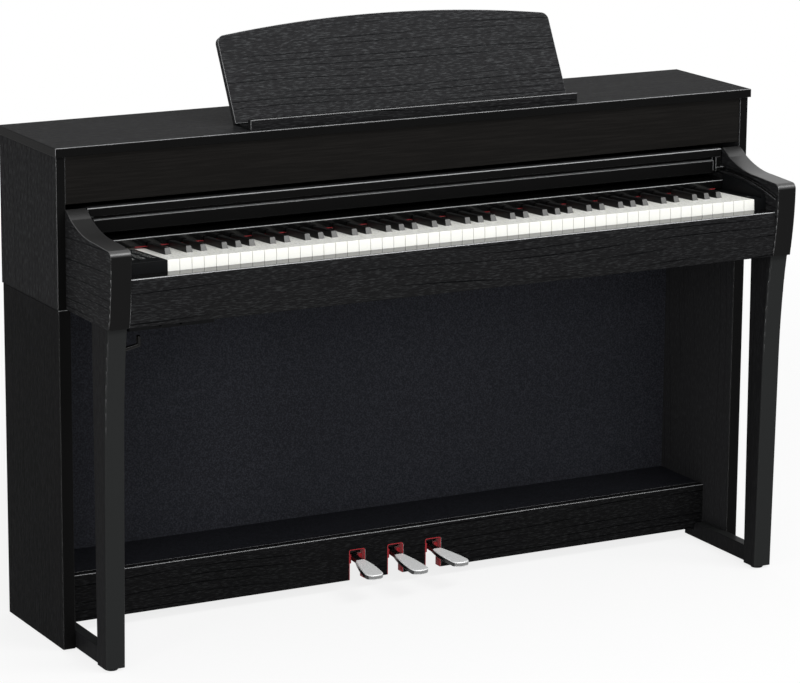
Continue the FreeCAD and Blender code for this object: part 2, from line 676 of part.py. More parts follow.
def knob_slot():
    half = STEM_W / 2 + SLOT_PLAY
    end = KNOB_START + KNOB_TRAVEL + 3 + SLOT_PLAY
    base = WHITE_TOP + BLOCK_RISE
    return key_box(KNOB_X - half, KNOB_X + half, KNOB_START - 3 - SLOT_PLAY, end, base - 22,
                   base + 5)


def volume_knob():
    w, d, h = KNOB_SIZE
    base = WHITE_TOP + BLOCK_RISE
    cap = key_box(KNOB_X - w / 2, KNOB_X + w / 2, KNOB_START - d / 2, KNOB_START + d / 2,
                  base + GAP, base + GAP + h - 2)
    high = PIVOT_Z + base + GAP + h - 2
    cap = soften(cap, 1.0, lambda c: c.z > high - 0.1)
    stem = key_box(KNOB_X - STEM_W / 2, KNOB_X + STEM_W / 2, KNOB_START - 3, KNOB_START + 3,
                   base - 7, base + GAP + 0.5)
    return tipped(cap.fuse(stem).removeSplitter())


def block_left():
    holes = [button_well(BUTTON_A), button_well(BUTTON_B), knob_slot()]
    return control_block(KEY_LEFT_X - BLOCK_GAP, -BED_HALF, holes)


def block_right():
    return control_block(key_right_x() + BLOCK_GAP, BED_HALF, [button_well(POWER_AT)])


# ---- music rest ----
def rest_box(x0, x1, u0, u1, n0, n1):
    """Box on the upright plate: u above the hinge line, n in front of it."""
    return box(x0, x1, REST_AXIS_Y - n1, REST_AXIS_Y - n0, REST_AXIS_Z + u0, REST_AXIS_Z + u1)


def leaned(shape):
    return turned(shape, REST_AXIS_Y, REST_AXIS_Z, -REST_LEAN)


def both_sides(shape):
    return [shape, mirror(shape)]


def music_rest():
    z0 = REST_AXIS_Z + REST_LOW
    z1 = REST_AXIS_Z + REST_SIDE
    crown = REST_AXIS_Z + REST_CROWN
    c = REST_CORNER
    path = [(-REST_HALF, z0), (REST_HALF, z0), (REST_HALF, z1 - c),
            ((REST_HALF - c * 0.29, z1 - c * 0.29), (REST_HALF - c, z1 + 1)),
            ((0.0, crown), (-REST_HALF + c, z1 + 1)),
            ((-REST_HALF + c * 0.29, z1 - c * 0.29), (-REST_HALF, z1 - c))]
    face = outline(path, lambda p: V(p[0], REST_AXIS_Y - REST_FRONT, p[1]))
    plate = face.extrude(V(0, REST_FRONT - REST_BACK, 0))
    for x in (LUG_IN, LUG_OUT - LUG_THICK):
        cut = rest_box(x - 1, x + LUG_THICK + 1, REST_LOW - 1, 10, REST_BACK - 1, LUG_R + 1)
        for side in both_sides(cut):
            plate = plate.cut(side)
    x0 = LUG_IN + LUG_THICK + 1
    x1 = LUG_OUT - LUG_THICK - 1
    barrel = rod_x(x0, x1, REST_AXIS_Y, REST_AXIS_Z, REST_KNUCKLE_R)
    bore = rod_x(x0 - 9, x1 + 9, REST_AXIS_Y, REST_AXIS_Z, REST_PIN_R + RUN_FIT)
    channel = rest_box(STAY_X - STAY_W / 2 - 3, STAY_X + STAY_W / 2 + 3, STAY_LONG - 8,
                       2 * STAY_LONG + 8, REST_BACK - 1, 6.2)
    for side in both_sides(barrel):
        plate = plate.fuse(side)
    for side in both_sides(bore) + both_sides(channel):
        plate = plate.cut(side)
    pin = rod_x(STAY_X - STAY_W / 2 - 3, STAY_X + STAY_W / 2 + 3, REST_AXIS_Y,
                REST_AXIS_Z + STAY_LONG, STAY_PIN_R)
    for side in both_sides(pin):
        plate = plate.fuse(side)
    for inset in (-1, 1):
        x = STAY_X + inset * (STAY_W / 2 + 3 + 1.5)
        ear = rest_box(x - 1.5, x + 1.5, STAY_LONG - 4, STAY_LONG + 4, -4, REST_BACK + 1)
        for side in both_sides(ear):
            plate = plate.fuse(side)
    return leaned(plate.removeSplitter())


def music_stays():
    """Two props hinged on the plate's back; each has a rounded foot that runs on the top."""
    base = math.radians(90 - REST_LEAN)
    top_y = REST_AXIS_Y + STAY_LONG * math.cos(base)
    top_z = REST_AXIS_Z + STAY_LONG * math.sin(base)
    x0 = STAY_X - STAY_W / 2
    x1 = STAY_X + STAY_W / 2
    bar = box(x0, x1, top_y - STAY_THICK / 2, top_y + STAY_THICK / 2, top_z - STAY_LONG, top_z)
    bar = bar.fuse(rod_x(x0, x1, top_y, top_z, STAY_EYE_R))
    bar = bar.fuse(rod_x(x0, x1, top_y, top_z - STAY_LONG, STAY_FOOT_R)).removeSplitter()
    bar = bar.cut(rod_x(x0 - 1, x1 + 1, top_y, top_z, STAY_PIN_R + RUN_FIT))
    prop = turned(bar, top_y, top_z, REST_LEAN)
    return Part.makeCompound(both_sides(prop))


def music_ledge():
    z0 = TOP_Z
    lip = box(-LEDGE_HALF, LEDGE_HALF, LEDGE_FRONT_Y, LEDGE_FRONT_Y + LEDGE_LIP, z0, z0 + LEDGE_H)
    lip = soften(lip, EDGE_ROUND, lambda c: c.z > z0 + LEDGE_H - 0.1)
    floor = box(-LEDGE_HALF, LEDGE_HALF, LEDGE_FRONT_Y + LEDGE_LIP, LEDGE_REAR_Y, z0,
                z0 + LEDGE_FLOOR)
    ledge = lip.fuse(floor)
    for x in (LUG_IN, LUG_OUT - LUG_THICK):
        x1 = x + LUG_THICK
        lug = rod_x(x, x1, REST_AXIS_Y, REST_AXIS_Z, LUG_R)
        lug = lug.fuse(box(x, x1, REST_AXIS_Y - LUG_R, REST_AXIS_Y + LUG_R, z0, REST_AXIS_Z))
        lug = lug.fuse(box(x, x1, LEDGE_REAR_Y - 6, REST_AXIS_Y, z0, z0 + 3))
        for side in both_sides(lug):
            ledge = ledge.fuse(side)
    pin = rod_x(LUG_IN, LUG_OUT, REST_AXIS_Y, REST_AXIS_Z, REST_PIN_R)
    for side in both_sides(pin):
        ledge = ledge.fuse(side)
    return ledge.removeSplitter()


# ---- pedal box ----
def notch(xc, inset):
    half = NOTCH_W / 2 - inset
    top = NOTCH_TOP_Z - inset
    hole = box(xc - half, xc + half, RAIL_Y - 1, RAIL_Y + RAIL_THICK + 1, RAIL_LOW_Z - 1, top)
    return soften(hole, NOTCH_ROUND - inset,
                  lambda c: c.z > top - 0.1 and abs(abs(c.x - xc) - half) < 0.1)


def pedal_rail():
    rail = box(-BOX_HALF, BOX_HALF, RAIL_Y, RAIL_Y + RAIL_THICK, RAIL_LOW_Z, RAIL_HIGH_Z)
    rail = soften(rail, EDGE_ROUND, lambda c: c.y < RAIL_Y + 0.1 and c.z > RAIL_HIGH_Z - 0.1)
    for xc in PEDAL_X:
        rail = rail.cut(notch(xc, 0))
    return rail


def pedal_felt():
    """Liner round each notch, with a pad on each side that keeps the lever in the middle."""
    liners = []
    for xc in PEDAL_X:
        block = box(xc - 30, xc + 30, RAIL_Y, RAIL_Y + RAIL_THICK, RAIL_LOW_Z, RAIL_HIGH_Z)
        liner = block.common(notch(xc, 0)).cut(notch(xc, LINER))
        for sx in (-1, 1):
            wall = xc + sx * (NOTCH_W / 2 - LINER)
            face = xc + sx * (PEDAL_REAR_W / 2 + 1)
            liner = liner.fuse(box(min(wall, face), max(wall, face), RAIL_Y + RAIL_THICK / 2,
                                   RAIL_Y + RAIL_THICK, GUIDE_LOW_Z, GUIDE_LOW_Z + GUIDE_H))
        liners.append(liner.removeSplitter())
    return Part.makeCompound(liners)


def pedal_shelf():
    return box(-BOX_HALF, BOX_HALF, RAIL_Y + RAIL_THICK, LOWER_BACK_Y - GAP,
               RAIL_HIGH_Z - SHELF_THICK, RAIL_HIGH_Z)


def pedal_frame():
    """Plate under the shelf with a stop above the pedals and cheeks that hold their rod."""
    reach = PEDAL_TOE_W
    x0 = PEDAL_X[0] - reach
    x1 = PEDAL_X[2] + reach
    y0 = RAIL_Y + RAIL_THICK + 4
    top = RAIL_HIGH_Z - SHELF_THICK
    frame = box(x0, x1, y0, PEDAL_PIVOT_Y + 20, top - CHEEK_THICK, top)
    frame = frame.fuse(box(x0, x1, y0, y0 + CHEEK_THICK, PEDAL_STOP_Z, top))
    for xc in PEDAL_X:
        for sx in (-1, 1):
            x = xc + sx * (PEDAL_REAR_W / 2 + 1 + CHEEK_THICK / 2)
            frame = frame.fuse(box(x - CHEEK_THICK / 2, x + CHEEK_THICK / 2,
                                   PEDAL_PIVOT_Y - 16, PEDAL_PIVOT_Y + 16, PEDAL_PIVOT_Z - 14, top))
    return frame.removeSplitter().cut(rod_x(x0 - 1, x1 + 1, PEDAL_PIVOT_Y, PEDAL_PIVOT_Z,
                                            PEDAL_ROD_R))


def pedal_rod():
    reach = PEDAL_REAR_W / 2 + 1 + CHEEK_THICK
    return rod_x(PEDAL_X[0] - reach, PEDAL_X[2] + reach, PEDAL_PIVOT_Y, PEDAL_PIVOT_Z,
                 PEDAL_ROD_R)


def pedal(xc, splay, longer):
    """Lever with a straight neck and a broad, blunt toe that stands to the left by splay."""
    rear = PEDAL_REAR_W / 2
    toe = PEDAL_TOE_W / 2
    y = PEDAL_PIVOT_Y
    neck = PEDAL_NECK_Y
    tip = PEDAL_TOE_Y - longer
    mid = (neck + tip + 16) / 2
    swell = rear + 0.78 * (toe - rear)
    lean = -0.45 * splay
    near = -splay - toe
    far = -splay + toe
    path = [(-rear, y), (-rear, neck),
            ((lean - swell, mid), (near, tip + 16)),
            ((near + 3.6, tip + 5), (near + 12, tip + 0.8)),
            ((-splay, tip), (far - 12, tip + 0.8)),
            ((far - 3.6, tip + 5), (far, tip + 16)),
            ((lean + swell, mid), (rear, neck)), (rear, y)]
    z1 = PEDAL_PIVOT_Z + PEDAL_TOP
    z0 = z1 - PEDAL_THICK
    lever = plan_profile(path, z0, z1)
    lever = soften(lever, 2.4, lambda c: abs(c.z - z1) < 0.1 and c.y < y - 60)
    lever = lever.fuse(rod_x(-rear, rear, y, PEDAL_PIVOT_Z, PEDAL_BOSS_R))
    lever = lever.removeSplitter().cut(rod_x(-rear - 1, rear + 1, y, PEDAL_PIVOT_Z,
                                             PEDAL_ROD_R + RUN_FIT))
    lever.translate(V(xc, 0, 0))
    return turned(lever, y, PEDAL_PIVOT_Z, PEDAL_TILT)


# ---- inside ----
def speakers():
    """Two cone loudspeakers standing over the round holes of the key bed, facing down."""
    z = BED_TOP_Z
    rim = SPEAKER_R
    profile = [(rim, z), (rim, z + 4), (rim - 8, z + 6), (30, z + 36), (30, z + 52), (0, z + 52),
               (0, z + 30), (16, z + 30), (rim - 10, z + 2), (rim - 10, z)]
    face = outline(profile, lambda p: V(p[0], 0, p[1]))
    one = face.revolve(V(0, 0, 0), V(0, 0, 1), 360)
    pair = []
    for sx in (-1, 1):
        unit = one.copy()
        unit.translate(V(sx * SPEAKER_X, SPEAKER_Y, 0))
        pair.append(unit)
    return Part.makeCompound(pair)


def circuit_board():
    z = BED_TOP_Z + 8
    half = SPEAKER_X - SPEAKER_R - 68
    y0 = ROOM_Y + 20
    y1 = UPPER_BACK_Y - 25
    board = box(-half, half, y0, y1, z, z + 1.6)
    for x in (10 - half, 0, half - 10):
        for y in (y0 + 6, y1 - 6):
            board = board.fuse(cyl((0, 0, 1), (x, y, BED_TOP_Z), 4, 8))
    deep = y1 - y0
    for x, wide, near, far, h in ((-0.67, 40, 0.28, 0.68, 4), (-0.3, 60, 0.18, 0.78, 18),
                                  (0.12, 30, 0.28, 0.58, 3), (0.5, 80, 0.38, 0.58, 10),
                                  (0.83, 40, 0.13, 0.88, 14)):
        board = board.fuse(box(x * half - wide / 2, x * half + wide / 2, y0 + near * deep,
                               y0 + far * deep, z + 1.6, z + 1.6 + h))
    return board.removeSplitter()


def power_supply():
    case = box(INLET_X - 50, INLET_X + 60, ROOM_Y + 24, UPPER_BACK_Y - 31, BED_TOP_Z,
               BED_TOP_Z + 22)
    return soften(case, 3, lambda c: c.z > BED_TOP_Z + 21)


def ac_inlet():
    """Two-pin mains socket set in the back board; no cord is plugged in."""
    rear = UPPER_BACK_Y + BACK_THICK
    shell = box(INLET_X - 14, INLET_X + 14, UPPER_BACK_Y - 14, rear, INLET_Z - 10, INLET_Z + 10)
    flange = box(INLET_X - 22, INLET_X + 22, rear, rear + 2, INLET_Z - 14, INLET_Z + 14)
    well = box(INLET_X - 10, INLET_X + 10, UPPER_BACK_Y - 8, rear + 3, INLET_Z - 6, INLET_Z + 6)
    socket = shell.fuse(flange).removeSplitter().cut(well)
    for sx in (-1, 1):
        at = (INLET_X + sx * 4.3, UPPER_BACK_Y - 9, INLET_Z)
        socket = socket.fuse(cyl((0, 1, 0), at, 1.2, 11))
    return socket.removeSplitter()


def jack_box():
    """Socket box under the left end of the key bed, two headphone sockets facing the player."""
    z1 = BED_TOP_Z - BED_THICK
    x0 = -LEG_IN + 12
    x1 = x0 + 168
    case = box(x0, x1, JACK_FRONT_Y, JACK_FRONT_Y + 74, z1 - 19, z1)
    case = soften(case, 4, lambda c: c.y < JACK_FRONT_Y + 0.1 and not x0 + 1 < c.x < x1 - 1)
    for x in JACK_X:
        nut = cyl((0, 1, 0), (x, JACK_FRONT_Y - 2, JACK_Z), 5.5, 4)
        case = case.fuse(nut)
    case = case.removeSplitter()
    for x in JACK_X:
        case = case.cut(cyl((0, 1, 0), (x, JACK_FRONT_Y - 2, JACK_Z), JACK_R, JACK_DEEP))
    return case


def headphone_hook():
    """Bent rod screwed to the inside of the left leg."""
    y = FRONT_Y + 57.5
    root = V(-LEG_IN, y, SEAM_Z - 49.5)
    bend = V(-LEG_IN + 37.5, y, SEAM_Z - 42.2)
    tip = V(-LEG_IN + 37.5, y, SEAM_Z - 28.0)
    hook = cyl((1, 0, 0), root, 10, 3)
    for start, end in ((root, bend), (bend, tip)):
        run = end - start
        hook = hook.fuse(Part.makeCylinder(HOOK_R, run.Length, start, run))
        hook = hook.fuse(Part.makeSphere(HOOK_R, end))
    outside = box(-LEG_IN - 20, -LEG_IN, y - 20, y + 20, SEAM_Z - 80, SEAM_Z)
    return hook.removeSplitter().cut(outside)


def back_screws():
    rear = UPPER_BACK_Y + BACK_THICK
    screws = []
    for x, z in screw_spots():
        head = cyl((0, 1, 0), (x, rear, z), SCREW_HEAD_R, SCREW_HEAD)
        head = soften(head, 0.8, lambda c: c.y > rear + SCREW_HEAD - 0.1)
        screws.append(head.fuse(cyl((0, -1, 0), (x, rear, z), SCREW_R, SCREW_LONG)))
    return Part.makeCompound([s.removeSplitter() for s in screws])


def build():
    nodes = {
        "top_board": top_board(),
        "upper_side_left": mirror(upper_side()),
        "upper_side_right": upper_side(),
        "lower_side_left": mirror(lower_side()),
        "lower_side_right": lower_side(),
        "front_panel": front_panel(),
        "upper_back": upper_back(),
        "lower_back": lower_back(),
        "key_bed": key_bed(),
        "key_slip": key_slip(),
        "arm_left": mirror(arm()),
        "arm_right": arm(),
        "leg_left": mirror(leg()),
        "leg_right": leg(),
        "toe_bar_left": mirror(toe_bar()),
        "toe_bar_right": toe_bar(),
        "foot_glides": foot_glides(),
        "key_rod": key_rod(),
        "key_frame": key_frame(),
        "key_felt": key_felt(),
        "contact_board": contact_board(),
        "fallboard": fallboard(),
        "key_cover": key_cover(),
        "cover_rail": cover_rail(),
        "block_left": block_left(),
        "block_right": block_right(),
        "button_a": button(BUTTON_A),
        "button_b": button(BUTTON_B),
        "power_button": button(POWER_AT),
        "volume_knob": volume_knob(),
        "music_rest": music_rest(),
        "music_stays": music_stays(),
        "music_ledge": music_ledge(),
        "pedal_rail": pedal_rail(),
        "pedal_felt": pedal_felt(),
        "pedal_shelf": pedal_shelf(),
        "pedal_frame": pedal_frame(),
        "pedal_rod": pedal_rod(),
        "pedal_left": pedal(PEDAL_X[0], PEDAL_SPLAY, 0.0),
        "pedal_middle": pedal(PEDAL_X[1], 0.0, MIDDLE_LONGER),
        "pedal_right": mirror(pedal(-PEDAL_X[2], PEDAL_SPLAY, 0.0)),
        "speakers": speakers(),
        "circuit_board": circuit_board(),
        "power_supply": power_supply(),
        "ac_inlet": ac_inlet(),
        "jack_box": jack_box(),
        "headphone_hook": headphone_hook(),
        "back_screws": back_screws(),
    }
    for note, solids in keys_named().items():
        nodes["keys_" + note] = Part.makeCompound(solids)
    return nodes


os.makedirs("parts", exist_ok=True)
for node, shape in build().items():
    shape.exportStep("parts/" + node + ".step")
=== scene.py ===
import bmesh
import bpy
import json
import math
from mathutils import Matrix, Vector


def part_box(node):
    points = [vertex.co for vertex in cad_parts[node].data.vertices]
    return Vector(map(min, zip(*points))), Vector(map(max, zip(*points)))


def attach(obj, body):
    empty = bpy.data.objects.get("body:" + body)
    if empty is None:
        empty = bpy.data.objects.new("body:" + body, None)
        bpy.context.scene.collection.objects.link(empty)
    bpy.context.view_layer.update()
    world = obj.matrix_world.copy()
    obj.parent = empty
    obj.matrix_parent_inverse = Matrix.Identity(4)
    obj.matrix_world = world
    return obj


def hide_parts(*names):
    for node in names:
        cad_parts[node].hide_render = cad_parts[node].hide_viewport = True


bl_info = {
    "name": "Home Digital Piano Finish",
    "version": (1, 0, 0),
    "blender": (4, 5, 0),
    "location": "View3D > Sidebar > Piano",
    "description": "Finishes and fine parts for the home digital piano on its stand",
    "category": "Object",
}

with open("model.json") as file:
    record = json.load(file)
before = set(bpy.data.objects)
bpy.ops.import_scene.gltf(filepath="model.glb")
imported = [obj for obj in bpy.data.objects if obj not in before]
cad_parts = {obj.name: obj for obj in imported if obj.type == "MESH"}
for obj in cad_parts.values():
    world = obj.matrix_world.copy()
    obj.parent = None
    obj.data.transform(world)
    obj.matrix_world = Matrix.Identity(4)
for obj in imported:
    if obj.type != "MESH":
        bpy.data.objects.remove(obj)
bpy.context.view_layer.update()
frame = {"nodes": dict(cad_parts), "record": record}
NODES = frame["nodes"]

NOTES = ("a", "a_sharp", "b", "c", "c_sharp", "d", "d_sharp", "e", "f", "f_sharp", "g", "g_sharp")
WHITES = ["keys_" + n for n in NOTES if not n.endswith("sharp")]
BLACKS = ["keys_" + n for n in NOTES if n.endswith("sharp")]
PEDALS = ("pedal_left", "pedal_middle", "pedal_right")

MATT_ROUGH = 0.5  # roughness of the sprayed matt lacquer
MATT_SHINE = 0.008  # its specular level; with more, black boards turn grey on a white set
UPRIGHT_SHINE = 0.06  # most that the level may be on sanded faces that stand upright
GRAIN_DEPTH = 0.0003  # relief of the open grain
RING_WANDER = 11.0  # how many rings' distance the year rings drift


def linear(code):
    """An sRGB hex colour such as #1b1d1f as linear red, green and blue."""
    parts = [int(code[i:i + 2], 16) / 255 for i in (1, 3, 5)]
    return tuple(c / 12.92 if c <= 0.04045 else ((c + 0.055) / 1.055) ** 2.4 for c in parts)


def rgba(colour):
    """A colour with full opacity, as the colour sockets take it."""
    return (*colour, 1.0)


# ---- what a user may change ----
def colour_prop(name, description, code):
    """A colour shown in the panel, from its hex value."""
    return bpy.props.FloatVectorProperty(name=name, description=description, subtype="COLOR", size=3,
                                         min=0, max=1, default=linear(code))


def length_prop(name, description, default):
    """A length shown in the panel, in metres."""
    return bpy.props.FloatProperty(name=name, description=description, default=default, min=0,
                                   max=1, precision=5, unit="LENGTH")


class PianoColours(bpy.types.PropertyGroup):
    """Colours of the piano's finishes."""
    ash: colour_prop("Ash lacquer", "Black lacquer on the grained boards", "#202021")
    ash_pores: colour_prop("Ash pores", "Pores that catch the light on the grained boards", "#38393a")
    ash_rings: colour_prop("Ash rings", "Dark lines of the year rings", "#08090a")
    satin: colour_prop("Satin lacquer", "Sanded lacquer of the arms' tops and narrow faces", "#0d0d0d")
    leg: colour_prop("Leg lacquer", "Sanded lacquer of the legs' narrow faces", "#232424")
    panel: colour_prop("Panel lacquer", "Smooth lacquer of the front panel", "#100f0e")
    # this colour is a painted highlight, laid on the boards' edges that face the light
    edge: colour_prop("Rubbed edge", "Lacquer polished by hands on the edges", "#9a9b9c")
    foil: colour_prop("Back foil", "Foil on the thin back panel and the shelf", "#1f2024")
    gloss: colour_prop("Polished lacquer", "Polished strip behind the keys", "#070707")
    ivory: colour_prop("Key white", "White key tops", "#f6f6f0")
    ebony: colour_prop("Key black", "Black key tops", "#0b0b0b")
    # this colour is a painted highlight on the black keys' front slopes, which face the light
    bloom: colour_prop("Key bloom", "Worn front slope of the black keys", "#5c5c5b")
    felt: colour_prop("Felt", "Felt behind the keys and round the pedals", "#a80f1e")
    abs_black: colour_prop("Moulded black", "Control blocks, buttons and sockets", "#0b0c0d")
    powder: colour_prop("Powder coat", "Coated steel of the pedal frame and the stays", "#0d0e0f")
    print: colour_prop("Printed marks", "Marks printed on the control blocks", "#c9ccc8")
    nickel: colour_prop("Nickel", "Plated pedals", "#f6f7f7")
    steel: colour_prop("Steel", "Zinc plated rods and screws", "#9a9b9b")
    resist: colour_prop("Solder resist", "Green coat of the circuit boards", "#0f4427")


class PianoSizes(bpy.types.PropertyGroup):
    """Sizes of the fine parts and of the finishes' patterns."""
    key_slope: bpy.props.FloatProperty(name="Key slope", description="Slope of the keys at rest",
                                       default=math.radians(3.2), subtype="ANGLE")
    plated_to: length_prop("Plated to", "Y at which the plating ends on the pedals' necks", 0.036)
    block_rise: length_prop("Block rise", "Height of the control blocks above the white keys", 0.0006)
    pore_width: length_prop("Pore width", "Width of a pore streak in the ash", 0.0017)
    pore_length: length_prop("Pore length", "Length of a pore streak in the ash", 0.013)
    ring_spacing: length_prop("Ring spacing", "Distance between year rings in the ash", 0.009)
    # this width is also that of the painted highlight on the edges
    edge: length_prop("Edge wear", "Width of the polished edges of the boards", 0.0022)
    felt_thick: length_prop("Felt thickness", "Thickness of the pedal felts", 0.0018)
    felt_round: length_prop("Felt rounding", "Rounding of the felts along the keys", 0.0012)
    set_back: length_prop("Felt set back", "From the fallboard's front to the felt's under it", 0.0006)
    stop_deep: length_prop("Stop depth", "Depth of the felt that the keys come down on", 0.022)
    stop_tall: length_prop("Stop height", "Height of the felt that the keys come down on", 0.009)
    stop_inset: length_prop("Stop inset", "From the back felt's right end to the stop felt's", 0.0008)
    notch_round: length_prop("Notch rounding", "Radius of the pedal openings' upper corners", 0.004)
    neck_room: length_prop("Neck room", "Half distance between the pads beside a pedal's neck", 0.008)
    pad_low: length_prop("Pad place", "Height of the lower edge of the pads beside the pedals", 0.052)
    pad_tall: length_prop("Pad height", "Height of the pads beside the pedals", 0.018)
    back_felt: length_prop("Back felt", "Thickness of the felt behind the keys", 0.0022)
    nut_out: length_prop("Nut radius", "Outer radius of the nuts on the headphone sockets", 0.0054)
    nut_bore: length_prop("Socket radius", "Bore of the headphone sockets", 0.0033)
    mark_thick: length_prop("Print height", "Thickness of the printed marks", 0.00012)
    nut_tall: length_prop("Nut height", "Height of the nuts on the headphone sockets", 0.0022)
    nut_seat: length_prop("Nut seat", "How far behind the socket box's front the nuts sit", 0.002)
    screw_radius: length_prop("Screw radius", "Radius of the screw heads", 0.0042)
    screw_tall: length_prop("Screw height", "Height of the screw heads", 0.0024)
    screw_inset: length_prop("Screw inset", "From the ends of the rows to the outer screws' centres",
                             0.0045)
    recess: length_prop("Screw recess", "Half length of the cross recess in the screw heads", 0.0024)
    recess_wide: length_prop("Recess width", "Half width of the cross recess's slots", 0.0005)
    recess_deep: length_prop("Recess depth", "Depth of the cross recess", 0.0012)
    leg_glide: length_prop("Leg glide", "Radius of the glides under the legs", 0.0125)
    side_glide: length_prop("Side glide", "Radius of the glides under the side boards", 0.009)
    glide_inset: length_prop("Glide inset", "From a side board's front to its first glide", 0.018)
    row_pitch: length_prop("Row pitch", "Distance between the rows of printed marks", 0.0105)
    column_pitch: length_prop("Column pitch", "Distance between the columns of printed marks", 0.019)
    figure_tall: length_prop("Figure height", "Size of the printed figures", 0.0055)


def sizes():
    """The piano's sizes, as set in the panel."""
    return bpy.context.scene.piano_sizes


def colours():
    """The piano's colours, as set in the panel."""
    return bpy.context.scene.piano_colours


# ---- material helpers ----
def add(tree, kind, inputs=None, **settings):
    """Adds a node; an input given as a node or a socket is linked, anything else is its value."""
    node = tree.nodes.new(kind)
    for key, value in settings.items():
        setattr(node, key, value)
    for key, value in (inputs or {}).items():
        if isinstance(value, bpy.types.Node):
            value = value.outputs[0]
        if isinstance(value, bpy.types.NodeSocket):
            tree.links.new(value, node.inputs[key])
        else:
            node.inputs[key].default_value = value
    return node


def blank(name):
    """An empty material: its node tree and the object's own coordinates in metres."""
    mat = bpy.data.materials.new(name)
    mat.use_nodes = True
    tree = mat.node_tree
    tree.nodes.clear()
    return mat, tree, add(tree, "ShaderNodeTexCoord").outputs["Object"]


def close(mat, tree, inputs):
    """The surface shader and the output, with everything given for the shader."""
    shader = add(tree, "ShaderNodeBsdfPrincipled", inputs)
    add(tree, "ShaderNodeOutputMaterial", {"Surface": shader})
    return mat


def patterned(name, cells, ground, marks, rough, relief, shader, start=0.4, full=0.7, ease=0.0):
    """A finish with one irregular pattern, so many cells per metre along x, y and z. Where it
    goes from start to full the ground turns to the marks; rough is the roughness at either
    end, relief the pattern's depth in metres and ease the radius of the piece's edges."""
    mat, tree, coords = blank(name)
    cell = add(tree, "ShaderNodeMapping", {"Vector": coords, "Scale": cells})
    noise = add(tree, "ShaderNodeTexNoise", {"Vector": cell, "Scale": 1.0, "Detail": 3.0})
    share = add(tree, "ShaderNodeMapRange", {"Value": noise, "From Min": start, "From Max": full})
    colour = add(tree, "ShaderNodeMix", {0: share, 6: rgba(ground), 7: rgba(marks)}, data_type="RGBA")
    rub = add(tree, "ShaderNodeMapRange", {"Value": noise, "From Min": 0.3, "From Max": 0.7,
                                           "To Min": rough[0], "To Max": rough[1]})
    bump = add(tree, "ShaderNodeBump", {"Height": noise, "Distance": relief, "Strength": 0.4})
    if ease:
        tree.links.new(add(tree, "ShaderNodeBevel", {"Radius": ease}, samples=4).outputs[0],
                       bump.inputs["Normal"])
    return close(mat, tree, {"Base Color": colour.outputs[2], "Roughness": rub, "Normal": bump,
                             **shader})


def lacquered(mat, tree, colour, rough, level, height, depth, straight=True):
    """The surface of a lacquered board; level is the lacquer's shine. Its edges are eased, and
    those turned towards the front and the top, where the lamps are, get a painted highlight:
    a pale colour with more shine, drawn wider than the light they would catch. On a straight
    board the rounding between top and front gets the painted highlight too."""
    eased = add(tree, "ShaderNodeBevel", {"Radius": sizes().edge}, samples=6)
    flat = add(tree, "ShaderNodeNewGeometry").outputs["Normal"]
    turn = add(tree, "ShaderNodeVectorMath", {0: eased, 1: flat}, operation="DOT_PRODUCT")
    edge = add(tree, "ShaderNodeMapRange", {"Value": turn.outputs["Value"], "From Min": 0.985,
                                            "From Max": 0.88})
    # this direction points to the front, a little left and up, where the lamps stand; edges turned that
    # way get the painted highlight
    towards_light = add(tree, "ShaderNodeVectorMath", {0: eased, 1: (-0.3, -0.8, 0.52)},
                operation="DOT_PRODUCT")
    facing_light = add(tree, "ShaderNodeMapRange", {"Value": towards_light.outputs["Value"], "From Min": 0.6,
                                            "From Max": 0.85})
    painted_edge_highlight = add(tree, "ShaderNodeMath", {0: edge, 1: facing_light}, operation="MULTIPLY")
    # on a straight board the rounding between top and front gets the painted highlight as well
    if straight:
        faced = add(tree, "ShaderNodeSeparateXYZ", {0: eased}).outputs
        front = add(tree, "ShaderNodeMath", {0: faced[1], 1: -1.0}, operation="MULTIPLY")
        both = add(tree, "ShaderNodeMath", {0: front, 1: faced[2]}, operation="MINIMUM")
        round_edge = add(tree, "ShaderNodeMapRange", {"Value": both, "From Min": 0.42, "From Max": 0.6})
        painted_edge_highlight = add(tree, "ShaderNodeMath", {0: painted_edge_highlight, 1: round_edge}, operation="MAXIMUM")
    # painted highlight: edges that would catch the light get the pale edge colour, more shine and less
    # roughness
    tone = add(tree, "ShaderNodeMix", {0: painted_edge_highlight, 6: colour, 7: rgba(colours().edge)},
               data_type="RGBA")
    dull = add(tree, "ShaderNodeMix", {0: painted_edge_highlight, 2: rough, 3: 0.25})
    shine = add(tree, "ShaderNodeMix", {0: painted_edge_highlight, 2: level, 3: 0.6})
    bump = add(tree, "ShaderNodeBump", {"Height": height, "Distance": depth, "Strength": 0.5,
                                        "Normal": eased})
    return close(mat, tree, {"Base Color": tone.outputs[2], "Roughness": dull, "Normal": bump,
                             "Specular IOR Level": shine, "IOR": 1.5})


